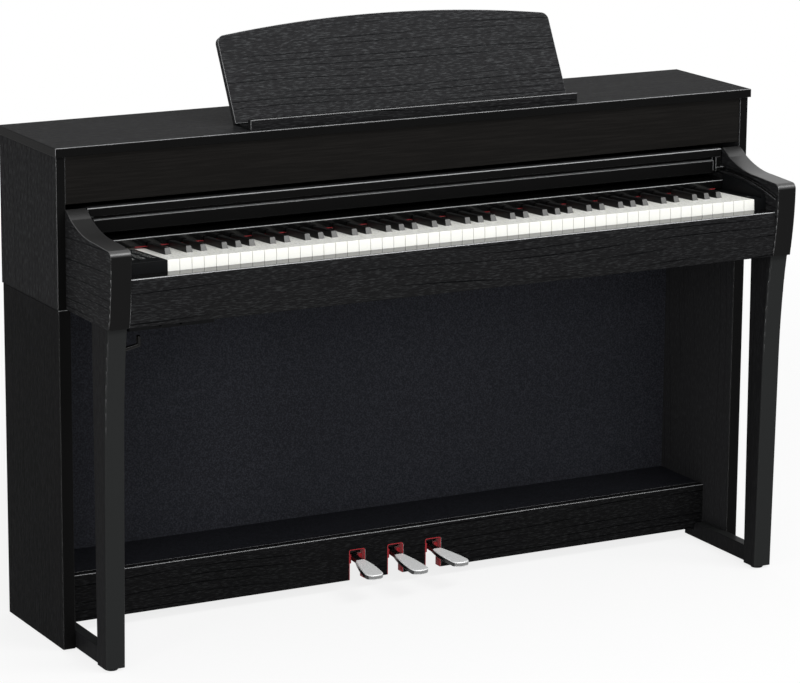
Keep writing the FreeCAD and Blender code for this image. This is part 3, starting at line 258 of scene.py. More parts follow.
# ---- finishes ----
def ash_grain(tree, coords, axis, shift):
    """The figure of ash whose grain runs along the axis: how far the pores lie open and how
    dark the year rings are. shift moves the figure on, so that no two boards are alike."""
    s = sizes()
    order = {"X": (0, 1, 2), "Y": (1, 0, 2), "Z": (2, 0, 1)}[axis]
    parts = add(tree, "ShaderNodeSeparateXYZ", {0: coords}).outputs
    laid = add(tree, "ShaderNodeCombineXYZ", {i: parts[k] for i, k in enumerate(order)})
    grain = add(tree, "ShaderNodeVectorMath", {0: laid, 1: (shift, shift, 0.0)})
    noises = []
    # cells per metre along and across the grain: pores, gaps in the rings, the rings' slow
    # wander and the clouds in which the pores stand closer
    for run, wide, detail in ((1 / s.pore_length, 1 / s.pore_width, 3.0), (3, 50, 1.0),
                              (1.1, 4.0, 1.0), (16, 160, 2.0)):
        cell = add(tree, "ShaderNodeMapping", {"Vector": grain, "Scale": (run, wide, wide)})
        noises.append(add(tree, "ShaderNodeTexNoise", {"Vector": cell, "Scale": 1.0,
                                                       "Detail": detail}))
    pores, breaks, wander, cloud = noises
    place = add(tree, "ShaderNodeSeparateXYZ", {0: grain}).outputs
    deep = add(tree, "ShaderNodeMath", {0: place[1], 1: place[2]}, operation="ADD")
    count = add(tree, "ShaderNodeMath", {0: deep, 1: 1 / s.ring_spacing}, operation="MULTIPLY")
    bent = add(tree, "ShaderNodeMath", {0: wander, 1: RING_WANDER, 2: count},
               operation="MULTIPLY_ADD")
    ring = add(tree, "ShaderNodeMath", {0: bent, 1: 1.0}, operation="PINGPONG")
    line = add(tree, "ShaderNodeMapRange", {"Value": ring, "From Min": 0.82, "From Max": 0.98})
    kept = add(tree, "ShaderNodeMapRange", {"Value": breaks, "From Min": 0.4, "From Max": 0.55})
    rings = add(tree, "ShaderNodeMath", {0: line, 1: kept}, operation="MULTIPLY")
    open_pores = add(tree, "ShaderNodeMapRange", {"Value": pores, "From Min": 0.5, "From Max": 0.66})
    dense = add(tree, "ShaderNodeMapRange", {"Value": cloud, "From Min": 0.35, "From Max": 0.65,
                                             "To Min": 0.8, "To Max": 1.0})
    lit = add(tree, "ShaderNodeMath", {0: open_pores, 1: dense}, operation="MULTIPLY")
    return lit, rings


def black_ash(name, axis, faces=None, shift=0.0, painted_light_scale=1.0, figure=1.0, sanded=None,
              sanded_rough=0.35, sanded_shine=0.02, straight=True):
    """Ash veneer, open pored, brushed and sprayed with black matt lacquer. The pores keep a
    fine relief whose rims catch the light, and the year rings stay thin and dark. The grain
    runs along the axis. faces is the axis of the faces that show it; the others are sanded,
    satin and of the colour sanded. Each board's colours are scaled by one number, paler to
    paint the light that falls on it and darker to paint its shade; figure is how strongly
    its grain stands out. sanded_shine is for sanded faces turned up; upright ones keep the
    duller spray."""
    c = colours()
    lit_pores = [a + (b - a) * figure for a, b in zip(c.ash, c.ash_pores)]
    dark_ring = [a + (b - a) * figure for a, b in zip(c.ash, c.ash_rings)]
    mat, tree, coords = blank(name)
    lit, rings = ash_grain(tree, coords, axis, shift)
    # painted light and shade: all of the board's colours are scaled by one number per board
    pale = add(tree, "ShaderNodeMix", {0: lit, 6: rgba([v * painted_light_scale for v in c.ash]),
                                       7: rgba([v * painted_light_scale for v in lit_pores])}, data_type="RGBA")
    wood = add(tree, "ShaderNodeMix", {0: rings, 6: pale.outputs[2],
                                       7: rgba([v * painted_light_scale for v in dark_ring])},
               data_type="RGBA").outputs[2]
    relief = add(tree, "ShaderNodeMath", {0: lit, 1: rings}, operation="SUBTRACT")
    if not faces:
        return lacquered(mat, tree, wood, MATT_ROUGH, MATT_SHINE, relief, GRAIN_DEPTH, straight)
    normal = add(tree, "ShaderNodeNewGeometry").outputs["Normal"]
    side = add(tree, "ShaderNodeSeparateXYZ", {0: normal})
    facing = add(tree, "ShaderNodeMath", {0: side.outputs[faces]}, operation="ABSOLUTE")
    grained = add(tree, "ShaderNodeMapRange", {"Value": facing, "From Min": 0.85, "From Max": 0.95})
    colour = add(tree, "ShaderNodeMix", {0: grained, 6: rgba(sanded or c.satin), 7: wood},
                 data_type="RGBA")
    height = add(tree, "ShaderNodeMath", {0: relief, 1: grained}, operation="MULTIPLY")
    rough = add(tree, "ShaderNodeMapRange", {"Value": grained, "To Min": sanded_rough,
                                             "To Max": MATT_ROUGH})
    upward = add(tree, "ShaderNodeMapRange", {"Value": side.outputs[2], "From Min": 0.1,
                                              "From Max": 0.5, "To Max": sanded_shine,
                                              "To Min": min(sanded_shine, UPRIGHT_SHINE)})
    level = add(tree, "ShaderNodeMix", {0: grained, 2: upward, 3: MATT_SHINE})
    return lacquered(mat, tree, colour.outputs[2], rough, level, height, GRAIN_DEPTH, straight)


def satin_lacquer(name):
    """Two-pack polyurethane lacquer on smooth fibreboard, rubbed to satin: faint straight
    grain prints through, and the sheen varies a little where it was wiped."""
    c = colours()
    mat, tree, coords = blank(name)
    cell = add(tree, "ShaderNodeMapping", {"Vector": coords, "Scale": (12, 420, 420)})
    through = add(tree, "ShaderNodeTexNoise", {"Vector": cell, "Scale": 1.0, "Detail": 3.0})
    wiped = add(tree, "ShaderNodeTexNoise", {"Vector": coords, "Scale": 9.0, "Detail": 3.0})
    share = add(tree, "ShaderNodeMapRange", {"Value": through, "From Min": 0.4, "From Max": 0.7})
    colour = add(tree, "ShaderNodeMix", {0: share, 6: rgba(c.panel),
                                         7: rgba([v * 1.6 for v in c.panel])}, data_type="RGBA")
    rough = add(tree, "ShaderNodeMapRange", {"Value": wiped, "From Min": 0.3, "From Max": 0.7,
                                             "To Min": 0.28, "To Max": 0.37})
    return lacquered(mat, tree, colour.outputs[2], rough, 0.04, through, 0.0001)


def printed_foil(name, tint=1.0):
    """Fibreboard wrapped in embossed foil: a matt blue-grey black with a fine speckle,
    drawn at 2.5 mm so that it shows. A tint below 1 darkens the foil as painted shade."""
    foil = [v * tint for v in colours().foil]
    mat, tree, coords = blank(name)
    speck = add(tree, "ShaderNodeTexNoise", {"Vector": coords, "Scale": 420.0, "Detail": 2.0})
    share = add(tree, "ShaderNodeMapRange", {"Value": speck, "From Min": 0.42, "From Max": 0.66})
    colour = add(tree, "ShaderNodeMix", {0: share, 6: rgba(foil), 7: rgba([v * 2.2 for v in foil])},
                 data_type="RGBA")
    return lacquered(mat, tree, colour.outputs[2], 0.6, 0.02, speck, 0.0002)


def polished_lacquer(name):
    """Polyester lacquer, flatted and polished: mirror black with a slight orange peel."""
    c = colours()
    mat, tree, coords = blank(name)
    peel = add(tree, "ShaderNodeTexNoise", {"Vector": coords, "Scale": 60.0, "Detail": 1.0})
    rough = add(tree, "ShaderNodeMapRange", {"Value": peel, "From Min": 0.35, "From Max": 0.7,
                                             "To Min": 0.06, "To Max": 0.14})
    return lacquered(mat, tree, rgba(c.gloss), rough, 0.3, peel, 0.0001)


def acrylic_key(name):
    """White key top of filled acrylic with a faint ivory grain along the key: off-white,
    a soft sheen, and slightly duller where fingers rub."""
    c = colours()
    return patterned(name, (900, 35, 900), c.ivory, [v * 0.94 for v in c.ivory], (0.24, 0.36), 0.00008,
                     {"IOR": 1.49, "Subsurface Weight": 0.05,
                      "Subsurface Radius": (0.002, 0.002, 0.0015)}, ease=0.0005)


def ebony_key(name):
    """Black key of moulded phenolic made to feel like ebony: matt black with fine lines along
    it, and a painted highlight, pale grey, on the front slope that faces the light."""
    c = colours()
    mat, tree, coords = blank(name)
    cell = add(tree, "ShaderNodeMapping", {"Vector": coords, "Scale": (1400, 60, 1400)})
    lines = add(tree, "ShaderNodeTexNoise", {"Vector": cell, "Scale": 1.0, "Detail": 3.0})
    share = add(tree, "ShaderNodeMapRange", {"Value": lines, "From Min": 0.45, "From Max": 0.75})
    colour = add(tree, "ShaderNodeMix", {0: share, 6: rgba(c.ebony),
                                         7: rgba([v * 2.2 for v in c.ebony])}, data_type="RGBA")
    eased = add(tree, "ShaderNodeBevel", {"Radius": 0.0009}, samples=4)
    front = add(tree, "ShaderNodeSeparateXYZ", {0: eased}).outputs[1]
    # painted highlight on the faces turned to the front, towards the light
    bloom = add(tree, "ShaderNodeMapRange", {"Value": front, "From Min": -0.45, "From Max": -0.85})
    painted_highlight = add(tree, "ShaderNodeMix", {0: bloom, 6: colour.outputs[2], 7: rgba(c.bloom)},
               data_type="RGBA")
    rough = add(tree, "ShaderNodeMapRange", {"Value": lines, "From Min": 0.3, "From Max": 0.7,
                                             "To Min": 0.3, "To Max": 0.4})
    bump = add(tree, "ShaderNodeBump", {"Height": lines, "Distance": 0.0001, "Strength": 0.3,
                                        "Normal": eased})
    return close(mat, tree, {"Base Color": painted_highlight.outputs[2], "Roughness": rough, "Normal": bump,
                             "IOR": 1.55, "Specular IOR Level": 0.2})


def wool_felt(name):
    """Pressed wool felt, dyed crimson: a soft nap with lighter loose fibres, no gloss."""
    c = colours()
    return patterned(name, (500, 500, 500), [v * 0.55 for v in c.felt], c.felt, (0.95, 0.95), 0.0006,
                     {"IOR": 1.45, "Sheen Weight": 0.3, "Sheen Roughness": 0.5}, start=0.35)


def moulded_abs(name, tint=1.0, rough=0.5, grit=1.2):
    """Injection moulded ABS with a spark eroded texture; grit is the texture's size in mm,
    coarser than the real one so that it shows."""
    base = [v * tint for v in colours().abs_black]
    cells = 1000 / grit
    return patterned(name, (cells, cells, cells), base, [v * 1.5 for v in base],
                     (rough - 0.05, rough + 0.06), 0.0001, {"IOR": 1.53, "Specular IOR Level": 0.06},
                     ease=0.0004)


def screen_print(name):
    """Screen printed ink: flat, slightly uneven light grey on the moulding."""
    c = colours()
    return patterned(name, (1500, 1500, 1500), c.print, [v * 0.8 for v in c.print], (0.6, 0.6), 0.00001,
                     {"IOR": 1.5})


def nickel_plate(name):
    """Nickel plate on cast steel, brushed to satin along the pedal, with duller spots where
    shoes rub. The brushing scatters so much that most of the metal acts as a pale matt
    surface. The neck behind the rail is left with its black primer. The sides are painted
    black, a painted reflection of the dark round the pedals, and the end of the toe gets a
    painted reflection too: bright along its rim, dark in the middle."""
    c = colours()
    mat, tree, coords = blank(name)
    cell = add(tree, "ShaderNodeMapping", {"Vector": coords, "Scale": (900, 30, 900)})
    brushed = add(tree, "ShaderNodeTexNoise", {"Vector": cell, "Scale": 1.0, "Detail": 3.0})
    rubbed = add(tree, "ShaderNodeTexNoise", {"Vector": coords, "Scale": 60.0, "Detail": 2.0})
    share = add(tree, "ShaderNodeMapRange", {"Value": brushed, "From Min": 0.3, "From Max": 0.7})
    tone = add(tree, "ShaderNodeMix", {0: share, 6: rgba([v * 0.93 for v in c.nickel]),
                                       7: rgba(c.nickel)}, data_type="RGBA")
    back = add(tree, "ShaderNodeSeparateXYZ", {0: coords}).outputs[1]
    before = add(tree, "ShaderNodeMapRange", {"Value": back, "From Min": sizes().plated_to + 0.001,
                                              "From Max": sizes().plated_to})
    plain = add(tree, "ShaderNodeNewGeometry").outputs["Normal"]
    flat = add(tree, "ShaderNodeSeparateXYZ", {0: plain})
    # only faces turned up keep the plate's colour; the sides get black as a painted reflection of the
    # dark round them
    above = add(tree, "ShaderNodeMapRange", {"Value": flat.outputs[2], "From Min": 0.2,
                                             "From Max": 0.3})
    # the end of the toe: a painted reflection, plated colour on the rim and dark in the middle
    front = add(tree, "ShaderNodeMapRange", {"Value": flat.outputs[1], "From Min": -0.55,
                                             "From Max": -0.7})
    rim = add(tree, "ShaderNodeBevel", {"Radius": 0.003}, samples=6)
    bend = add(tree, "ShaderNodeVectorMath", {0: rim, 1: plain}, operation="DOT_PRODUCT")
    painted_highlight = add(tree, "ShaderNodeMapRange", {"Value": bend.outputs["Value"], "From Min": 0.995,
                                            "From Max": 0.93, "To Min": 0.2})
    toe = add(tree, "ShaderNodeMath", {0: front, 1: painted_highlight}, operation="MULTIPLY")
    shown = add(tree, "ShaderNodeMath", {0: above, 1: toe}, operation="MAXIMUM")
    plated = add(tree, "ShaderNodeMath", {0: before, 1: shown}, operation="MULTIPLY").outputs[0]
    colour = add(tree, "ShaderNodeMix", {0: plated, 6: rgba(c.abs_black), 7: tone.outputs[2]},
                 data_type="RGBA")
    metal = add(tree, "ShaderNodeMath", {0: plated, 1: 0.12}, operation="MULTIPLY")
    dull = add(tree, "ShaderNodeMapRange", {"Value": rubbed, "From Min": 0.35, "From Max": 0.65,
                                            "To Min": 0.2, "To Max": 0.26})
    eased = add(tree, "ShaderNodeBevel", {"Radius": 0.0009}, samples=4)
    bump = add(tree, "ShaderNodeBump", {"Height": brushed, "Distance": 0.00002, "Strength": 0.2,
                                        "Normal": eased})
    return close(mat, tree, {"Base Color": colour.outputs[2], "Metallic": metal, "Roughness": dull,
                             "Normal": bump})


def zinc_steel(name, marks=300):
    """Zinc plated steel, drawn or turned: cool grey with fine drawing marks per metre."""
    c = colours()
    return patterned(name, (marks / 10, marks, marks), c.steel, [v * 0.75 for v in c.steel],
                     (0.28, 0.42), 0.00005, {"Metallic": 1.0}, start=0.3, ease=0.0004)


def gloss_enamel(name):
    """Stoved black enamel on bent steel rod: wet gloss with slight runs."""
    c = colours()
    return patterned(name, (120, 120, 40), c.gloss, c.gloss, (0.1, 0.2), 0.0002,
                     {"IOR": 1.5, "Specular IOR Level": 0.15})


def powder_coat(name):
    """Black powder coat on folded steel: low gloss with a fine orange peel."""
    c = colours()
    return patterned(name, (500, 500, 500), c.powder, [v * 1.5 for v in c.powder], (0.42, 0.5), 0.0001,
                     {"IOR": 1.5, "Specular IOR Level": 0.4}, ease=0.0004)


def paper_cone(name):
    """Pressed paper loudspeaker cone, dyed black: matt with fine radial fibres."""
    base = [v * 1.3 for v in colours().abs_black]
    return patterned(name, (500, 500, 120), base, [v * 1.8 for v in base], (0.8, 0.9), 0.0002,
                     {"IOR": 1.45})


def circuit_laminate(name):
    """Glass fibre laminate with green solder resist: copper lines show lighter."""
    c = colours()
    return patterned(name, (300, 120, 120), c.resist, [v * 2.2 for v in c.resist], (0.3, 0.4), 0.00005,
                     {"IOR": 1.55}, start=0.5, full=0.54)


def wear(nodes, material):
    """Gives a finish to CAD nodes."""
    for name in nodes:
        slots = NODES[name].material_slots
        if not slots:
            raise RuntimeError(name + " has no material slot")
        for slot in slots:
            slot.material = material


# ---- modelling helpers ----
def alone(obj):
    """Selects one object and makes it the active one."""
    bpy.ops.object.select_all(action="DESELECT")
    obj.select_set(True)
    bpy.context.view_layer.objects.active = obj


def edit(obj):
    """Opens one object's mesh, with vertices selectable: in another mode, extrusions of a bare
    ring or line do nothing."""
    alone(obj)
    bpy.ops.object.mode_set(mode="EDIT")
    bpy.ops.mesh.select_mode(type="VERT")


def done():
    """Leaves edit mode."""
    bpy.ops.object.mode_set(mode="OBJECT")


def pick(obj, kind, test):
    """In edit mode, selects only the faces, edges or verts that pass the test."""
    mesh = bmesh.from_edit_mesh(obj.data)
    bpy.ops.mesh.select_mode(type={"faces": "FACE", "edges": "EDGE", "verts": "VERT"}[kind])
    bpy.ops.mesh.select_all(action="DESELECT")
    found = 0
    for item in getattr(mesh, kind):
        if test(item):
            item.select_set(True)
            found += 1
    if not found:
        raise RuntimeError(obj.name + ": nothing to select")
    mesh.select_flush_mode()
    bmesh.update_edit_mesh(obj.data)


def middle(edge):
    """The middle of an edge."""
    return (edge.verts[0].co + edge.verts[1].co) / 2


def direction(edge):
    """The direction of an edge."""
    return (edge.verts[1].co - edge.verts[0].co).normalized()


def block(name, low, high):
    """A box between two corners, its size and place in its mesh."""
    low, high = Vector(low), Vector(high)
    bpy.ops.object.select_all(action="DESELECT")
    bpy.ops.mesh.primitive_cube_add(size=1, location=(low + high) / 2)
    obj = bpy.context.object
    obj.name = name
    obj.scale = high - low
    settle(obj)
    return obj


def settle(obj):
    """Puts the object's place, turn and size into its mesh."""
    alone(obj)
    bpy.ops.object.transform_apply(location=True, rotation=True, scale=True)


def modify(obj, kind, **settings):
    """Adds a modifier and applies it."""
    alone(obj)
    mod = obj.modifiers.new(kind.title(), kind)
    for key, value in settings.items():
        setattr(mod, key, value)
    bpy.ops.object.modifier_apply(modifier=mod.name)


def smooth(obj, degrees=35):
    """Shades a piece smooth, apart from edges sharper than the angle."""
    alone(obj)
    bpy.ops.object.shade_smooth_by_angle(angle=math.radians(degrees))


def tidy_mesh(obj):
    """Merges doubles and turns every face outwards."""
    edit(obj)
    bpy.ops.mesh.select_all(action="SELECT")
    bpy.ops.mesh.remove_doubles(threshold=1e-6)
    bpy.ops.mesh.normals_make_consistent(inside=False)
    done()


def joined(name, objs):
    """Makes one piece of several."""
    alone(objs[0])
    for obj in objs:
        obj.select_set(True)
    if len(objs) > 1:
        bpy.ops.object.join()
    obj = bpy.context.object
    obj.name = name
    return obj


def twin(obj, name, move):
    """A copy with its own mesh, moved within it."""
    alone(obj)
    bpy.ops.object.duplicate()
    copy = bpy.context.object
    copy.name = name
    copy.location = move
    settle(copy)
    return copy


def turned(name, centre, rings, sides, axis="Z", closed=True):
    """A turned piece through rings of radius and height, stood at its centre along the axis.
    Its first and last rings are closed each by itself, or else joined to each other."""
    bpy.ops.object.select_all(action="DESELECT")
    bpy.ops.mesh.primitive_circle_add(vertices=sides, radius=rings[0][0], location=(0, 0, rings[0][1]))
    obj = bpy.context.object
    obj.name = name
    settle(obj)
    edit(obj)
    bpy.ops.mesh.select_all(action="SELECT")
    radius, height = rings[0]
    for r, z in rings[1:]:
        bpy.ops.mesh.extrude_region_move(TRANSFORM_OT_translate={"value": (0, 0, z - height)})
        bpy.ops.transform.resize(value=(r / radius, r / radius, 1), center_override=(0, 0, z))
        radius, height = r, z
    if closed:
        bpy.ops.mesh.edge_face_add()
    bpy.ops.mesh.select_all(action="DESELECT")
    bpy.ops.mesh.select_non_manifold()
    if closed:
        bpy.ops.mesh.edge_face_add()
    else:
        bpy.ops.mesh.bridge_edge_loops()
    done()
    obj.rotation_euler = ({"Z": 0, "Y": -math.pi / 2, "-Y": math.pi / 2}[axis], 0, 0)
    obj.location = centre
    settle(obj)
    tidy_mesh(obj)
    return obj


def hand_over(obj, material, body, slot, *nodes):
    """Gives a finished piece its finish, its body and the CAD nodes that it stands for."""
    obj.data.materials.clear()
    obj.data.materials.append(material)
    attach(obj, body)
    if nodes:
        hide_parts(*nodes)


def block_top(y):
    """Height of the control blocks' top at y."""
    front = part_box("keys_c")
    return front[1][2] + sizes().block_rise - (y - front[0][1]) * math.tan(sizes().key_slope)


# ---- operators ----
class PIANO_OT_cabinet(bpy.types.Operator):
    """Grained, satin, foil and polished finishes for the case, the arms and the stand"""
    bl_idname = "piano.cabinet"
    bl_label = "Finish Cabinet"

    def execute(self, context):
        # the scale given to each board's colours paints the light or shade on it: paler for boards in
        # the light, darker for those in shade, such as the lower left side and the pedal rail
        wear(["cover_rail", "key_cover"], black_ash("Black ash, cover", "X", faces="Z", painted_light_scale=0.9))
        wear(["pedal_rail"], black_ash("Black ash, pedal rail", "X", shift=0.29, painted_light_scale=0.35))
        wear(["top_board"], black_ash("Black ash, top", "X", faces="Z", shift=0.47, painted_light_scale=0.8))
        wear(["music_rest"], black_ash("Black ash, music rest", "X", shift=0.83, painted_light_scale=1.3,
                                       straight=False))
        wear(["music_ledge"], black_ash("Black ash, ledge", "X", shift=0.37, painted_light_scale=0.6))
        wear(["key_slip"], black_ash("Black ash, key slip", "X", faces="Y", shift=0.53, painted_light_scale=0.6,
                                     sanded_rough=0.1, sanded_shine=0.8))
        wear(["upper_side_left"], black_ash("Black ash, upper left side", "Z", faces="X", painted_light_scale=0.75))
        wear(["lower_side_left"], black_ash("Black ash, lower left side", "Z", faces="X", shift=0.17,
                                            painted_light_scale=0.25))
        wear(["upper_side_right", "lower_side_right"],
             black_ash("Black ash, right sides", "Z", faces="X", shift=0.61, painted_light_scale=1.3, figure=0.3))
        wear(["leg_left", "leg_right", "toe_bar_left", "toe_bar_right"],
             black_ash("Black ash, legs", "Z", faces="X", shift=0.23, painted_light_scale=0.7, figure=0.3,
                       sanded=colours().leg))
        wear(["arm_left", "arm_right"], black_ash("Black ash, arms", "Y", faces="X", shift=0.11,
                                                  painted_light_scale=0.8, sanded_rough=0.4, sanded_shine=1.0,
                                                  straight=False))
        wear(["front_panel"], satin_lacquer("Satin black lacquer"))
        wear(["upper_back", "lower_back", "key_bed"], printed_foil("Black foiled board"))
        # the shelf's foil at half its colour: painted shade under the key bed
        wear(["pedal_shelf"], printed_foil("Black foiled shelf", 0.5))
        wear(["fallboard"], polished_lacquer("Polished black lacquer"))
        return {"FINISHED"}


class PIANO_OT_keyboard(bpy.types.Operator):
    """Finishes for the white and black keys and the parts under them"""
    bl_idname = "piano.keyboard"
    bl_label = "Finish Keyboard"

    def execute(self, context):
        wear(WHITES, acrylic_key("Acrylic key top"))
        wear(BLACKS, ebony_key("Phenolic ebony key"))
        wear(["key_frame"], moulded_abs("Grey key frame", 4.0, 0.55))
        wear(["contact_board"], circuit_laminate("Contact laminate"))
        wear(["key_rod"], zinc_steel("Drawn steel rod"))
        return {"FINISHED"}


class PIANO_OT_fittings(bpy.types.Operator):
    """Finishes for the controls, the metal fittings and the parts inside the case"""
    bl_idname = "piano.fittings"
    bl_label = "Finish Fittings"

    def execute(self, context):
        wear(["block_left", "block_right", "jack_box", "ac_inlet"], moulded_abs("Moulded ABS"))
        wear(["button_a", "button_b", "power_button", "volume_knob"],
             moulded_abs("Moulded ABS, buttons", 1.6, 0.38, 0.8))
        wear(["headphone_hook"], gloss_enamel("Black enamel"))
        wear(["music_stays", "pedal_frame", "pedal_rod", "power_supply"],
             powder_coat("Powder coated steel"))
        wear(["circuit_board"], circuit_laminate("Circuit laminate"))
        return {"FINISHED"}


class PIANO_OT_pedals(bpy.types.Operator):
    """Plated finish for the three pedals, with painted necks"""
    bl_idname = "piano.pedals"
    bl_label = "Finish Pedals"

    def execute(self, context):
        wear(PEDALS, nickel_plate("Nickel plate"))
        return {"FINISHED"}


class PIANO_OT_felts(bpy.types.Operator):
    """Felt behind the keys, under them and round the pedal openings"""
    bl_idname = "piano.felts"
    bl_label = "Add Felts"

    def execute(self, context):
        s = sizes()
        felt = wool_felt("Crimson wool felt")
        low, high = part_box("key_felt")
        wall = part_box("fallboard")
        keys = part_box("keys_c")
        back = block("back", (low[0], wall[0][1] + s.set_back, high[2] - s.back_felt), high)
        stop = block("stop", (keys[0][0], low[1], low[2]),
                     (high[0] - s.stop_inset, low[1] + s.stop_deep, low[2] + s.stop_tall))
        for obj in (back, stop):
            self.ease(obj, s.felt_round, lambda e: abs(direction(e).x) > 0.99)
        strip = joined("key_felts", [back, stop])
        smooth(strip)
        hand_over(strip, felt, "cabinet", "felt_red", "key_felt")

        low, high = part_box("pedal_felt")
        places = {j["child"]: j["pos_m"][0] for j in frame["record"]["behaviour"]["joints"]
                  if j["child"] in PEDALS}
        first = places["pedal_left"]
        liners = [self.liner(first, first - low[0], low, high)]
        for name in ("pedal_middle", "pedal_right"):
            liners.append(twin(liners[0], "liner", (places[name] - first, 0, 0)))
        liner = joined("pedal_felts", liners)
        smooth(liner)
        hand_over(liner, felt, "cabinet", "felt_red", "pedal_felt")
        return {"FINISHED"}

    def ease(self, obj, width, test):
        """Rounds the edges that pass the test, as a knife leaves felt."""
        edit(obj)
        pick(obj, "edges", test)
        bpy.ops.mesh.bevel(offset=width, segments=3, affect="EDGES")
        done()

    def liner(self, x, half, low, high):
        """A strip of felt bent round one pedal opening, with a pad on each side of the neck."""
        s = sizes()
        obj = block("liner", (x - half, low[1], low[2]), (x + half, high[1], high[2]))
        edit(obj)
        pick(obj, "edges", lambda e: abs(direction(e).y) > 0.99 and middle(e).z > high[2] - 1e-4)
        bpy.ops.mesh.bevel(offset=s.notch_round, segments=5, affect="EDGES")
        pick(obj, "faces", lambda f: abs(f.normal.y) > 0.9 or f.normal.z < -0.9)
        bpy.ops.mesh.delete(type="FACE")
        done()
        modify(obj, "SOLIDIFY", thickness=s.felt_thick, offset=-1.0)
        pieces = [obj]
        deep = (high[1] - low[1]) / 2
        for side in (-1, 1):
            wall = x + side * (half - s.felt_thick)
            face = x + side * s.neck_room
            pad = block("pad", (min(wall, face), high[1] - deep, s.pad_low),
                        (max(wall, face), high[1], s.pad_low + s.pad_tall))
            pieces.append(pad)
        whole = joined("liner", pieces)
        modify(whole, "BEVEL", width=0.0004, segments=2, limit_method="ANGLE")
        return whole


class PIANO_OT_marks(bpy.types.Operator):
    """Plain numbers, bars and signs printed on the control blocks"""
    bl_idname = "piano.marks"
    bl_label = "Add Printed Marks"
    front_row = -0.150  # y of the first row of marks
    front_tick = -0.127  # y of the first line beside the volume slider

    def execute(self, context):
        ink = screen_print("Screen printed ink")
        s = sizes()
        block_right_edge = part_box("block_left")[1][0] - 0.003
        marks = []
        for row in range(9):
            y = self.front_row + row * s.row_pitch
            for column in range(3):
                x = block_right_edge - 0.052 + column * s.column_pitch
                long = 0.0045 + 0.0012 * ((row * 2 + column) % 4)
                marks.append(self.bar(x + 0.0045, y, long, 0.0016))
                marks.append(self.text(str((row * 3 + column) % 9 + 1), x, y, s.figure_tall))
        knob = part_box("volume_knob")
        beside = (knob[0][0] + knob[1][0]) / 2 + 0.0075
        for tick in range(7):
            marks.append(self.bar(beside, self.front_tick + tick * 0.006, 0.0028, 0.0006))
        for name, sign in (("button_a", "+"), ("button_b", "-")):
            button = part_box(name)
            marks.append(self.text(sign, (button[0][0] + button[1][0]) / 2 - 0.001,
                                   button[1][1] + 0.0035, 0.006))
        self.printed("marks_left", marks, ink)

        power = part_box("power_button")
        x = (power[0][0] + power[1][0]) / 2
        y = power[1][1] + 0.008
        marks = [self.ring(x, y, 0.0026, 0.0021), self.bar(x - 0.0003, y + 0.0022, 0.0006, 0.0022),
                 self.bar(x - 0.003, y + 0.008, 0.006, 0.0008)]
        self.printed("marks_right", marks, ink)
        return {"FINISHED"}

    def printed(self, name, marks, ink):
        """Makes one piece of flat marks and gives it the thickness of the ink."""
        obj = joined(name, marks)
        modify(obj, "SOLIDIFY", thickness=sizes().mark_thick, offset=0.0)
        tidy_mesh(obj)
        hand_over(obj, ink, "cabinet", "block_plastic")

    def lay(self, obj, x, y):
        """Lays a flat mark drawn at the origin on the sloping block."""
        obj.rotation_euler = (-sizes().key_slope, 0, 0)
        obj.location = (x, y, block_top(y) + sizes().mark_thick / 2)
        settle(obj)
        return obj

    def bar(self, x, y, long, wide):
        """A printed bar that starts at x."""
        bpy.ops.object.select_all(action="DESELECT")
        bpy.ops.mesh.primitive_plane_add(size=1)
        obj = bpy.context.object
        obj.scale = (long, wide, 1)
        obj.location = (long / 2, 0, 0)
        settle(obj)
        return self.lay(obj, x, y)

    def ring(self, x, y, outer, inner):
        """A printed ring round x, y."""
        bpy.ops.object.select_all(action="DESELECT")
        bpy.ops.mesh.primitive_circle_add(vertices=32, radius=outer)
        obj = bpy.context.object
        edit(obj)
        bpy.ops.mesh.select_all(action="SELECT")
        bpy.ops.mesh.extrude_region_move(TRANSFORM_OT_translate={"value": (0, 0, 0)})
        bpy.ops.transform.resize(value=(inner / outer, inner / outer, 1), center_override=(0, 0, 0))
        bpy.ops.mesh.select_all(action="SELECT")
        bpy.ops.mesh.normals_make_consistent(inside=False)
        done()
        return self.lay(obj, x, y)

    def text(self, body, x, y, size):
        """A printed figure or sign that starts at x."""
        bpy.ops.object.select_all(action="DESELECT")
        bpy.ops.object.text_add()
        obj = bpy.context.object
        obj.data.body = body
        obj.data.size = size
        obj.data.align_y = "CENTER"
        obj.data.resolution_u = 2
        bpy.ops.object.convert(target="MESH")
        return self.lay(bpy.context.object, x, y)


class PIANO_OT_sockets(bpy.types.Operator):
    """Black nuts round the two headphone sockets"""
    bl_idname = "piano.sockets"
    bl_label = "Add Socket Nuts"

    def execute(self, context):
        nut = moulded_abs("Moulded ABS, nuts", 1.0, 0.5, 0.8)
        s = sizes()
        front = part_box("jack_box")[0][1]
        flange = s.nut_out * 1.12
        rings = [(s.nut_bore, 0), (flange, 0), (flange, 0.0016), (s.nut_out * 1.05, s.nut_tall),
                 (s.nut_bore + 0.0009, s.nut_tall), (s.nut_bore, 0.0015)]
        made = None
        for mount in frame["record"]["mounts"]:
            if mount["kind"] != "bore":
                continue
            x, _, z = mount["pos_m"]
            name = "nut_" + mount["name"]
            if made is None:
                made = turned(name, (x, front + s.nut_seat, z), rings, 24, "-Y", closed=False)
                smooth(made, 30)
                first = x
                hand_over(made, nut, "cabinet", "block_plastic")
            else:
                copy = twin(made, name, (x - first, 0, 0))
                hand_over(copy, nut, "cabinet", "block_plastic")
        if made is None:
            raise RuntimeError("the frame has no headphone socket")
        return {"FINISHED"}


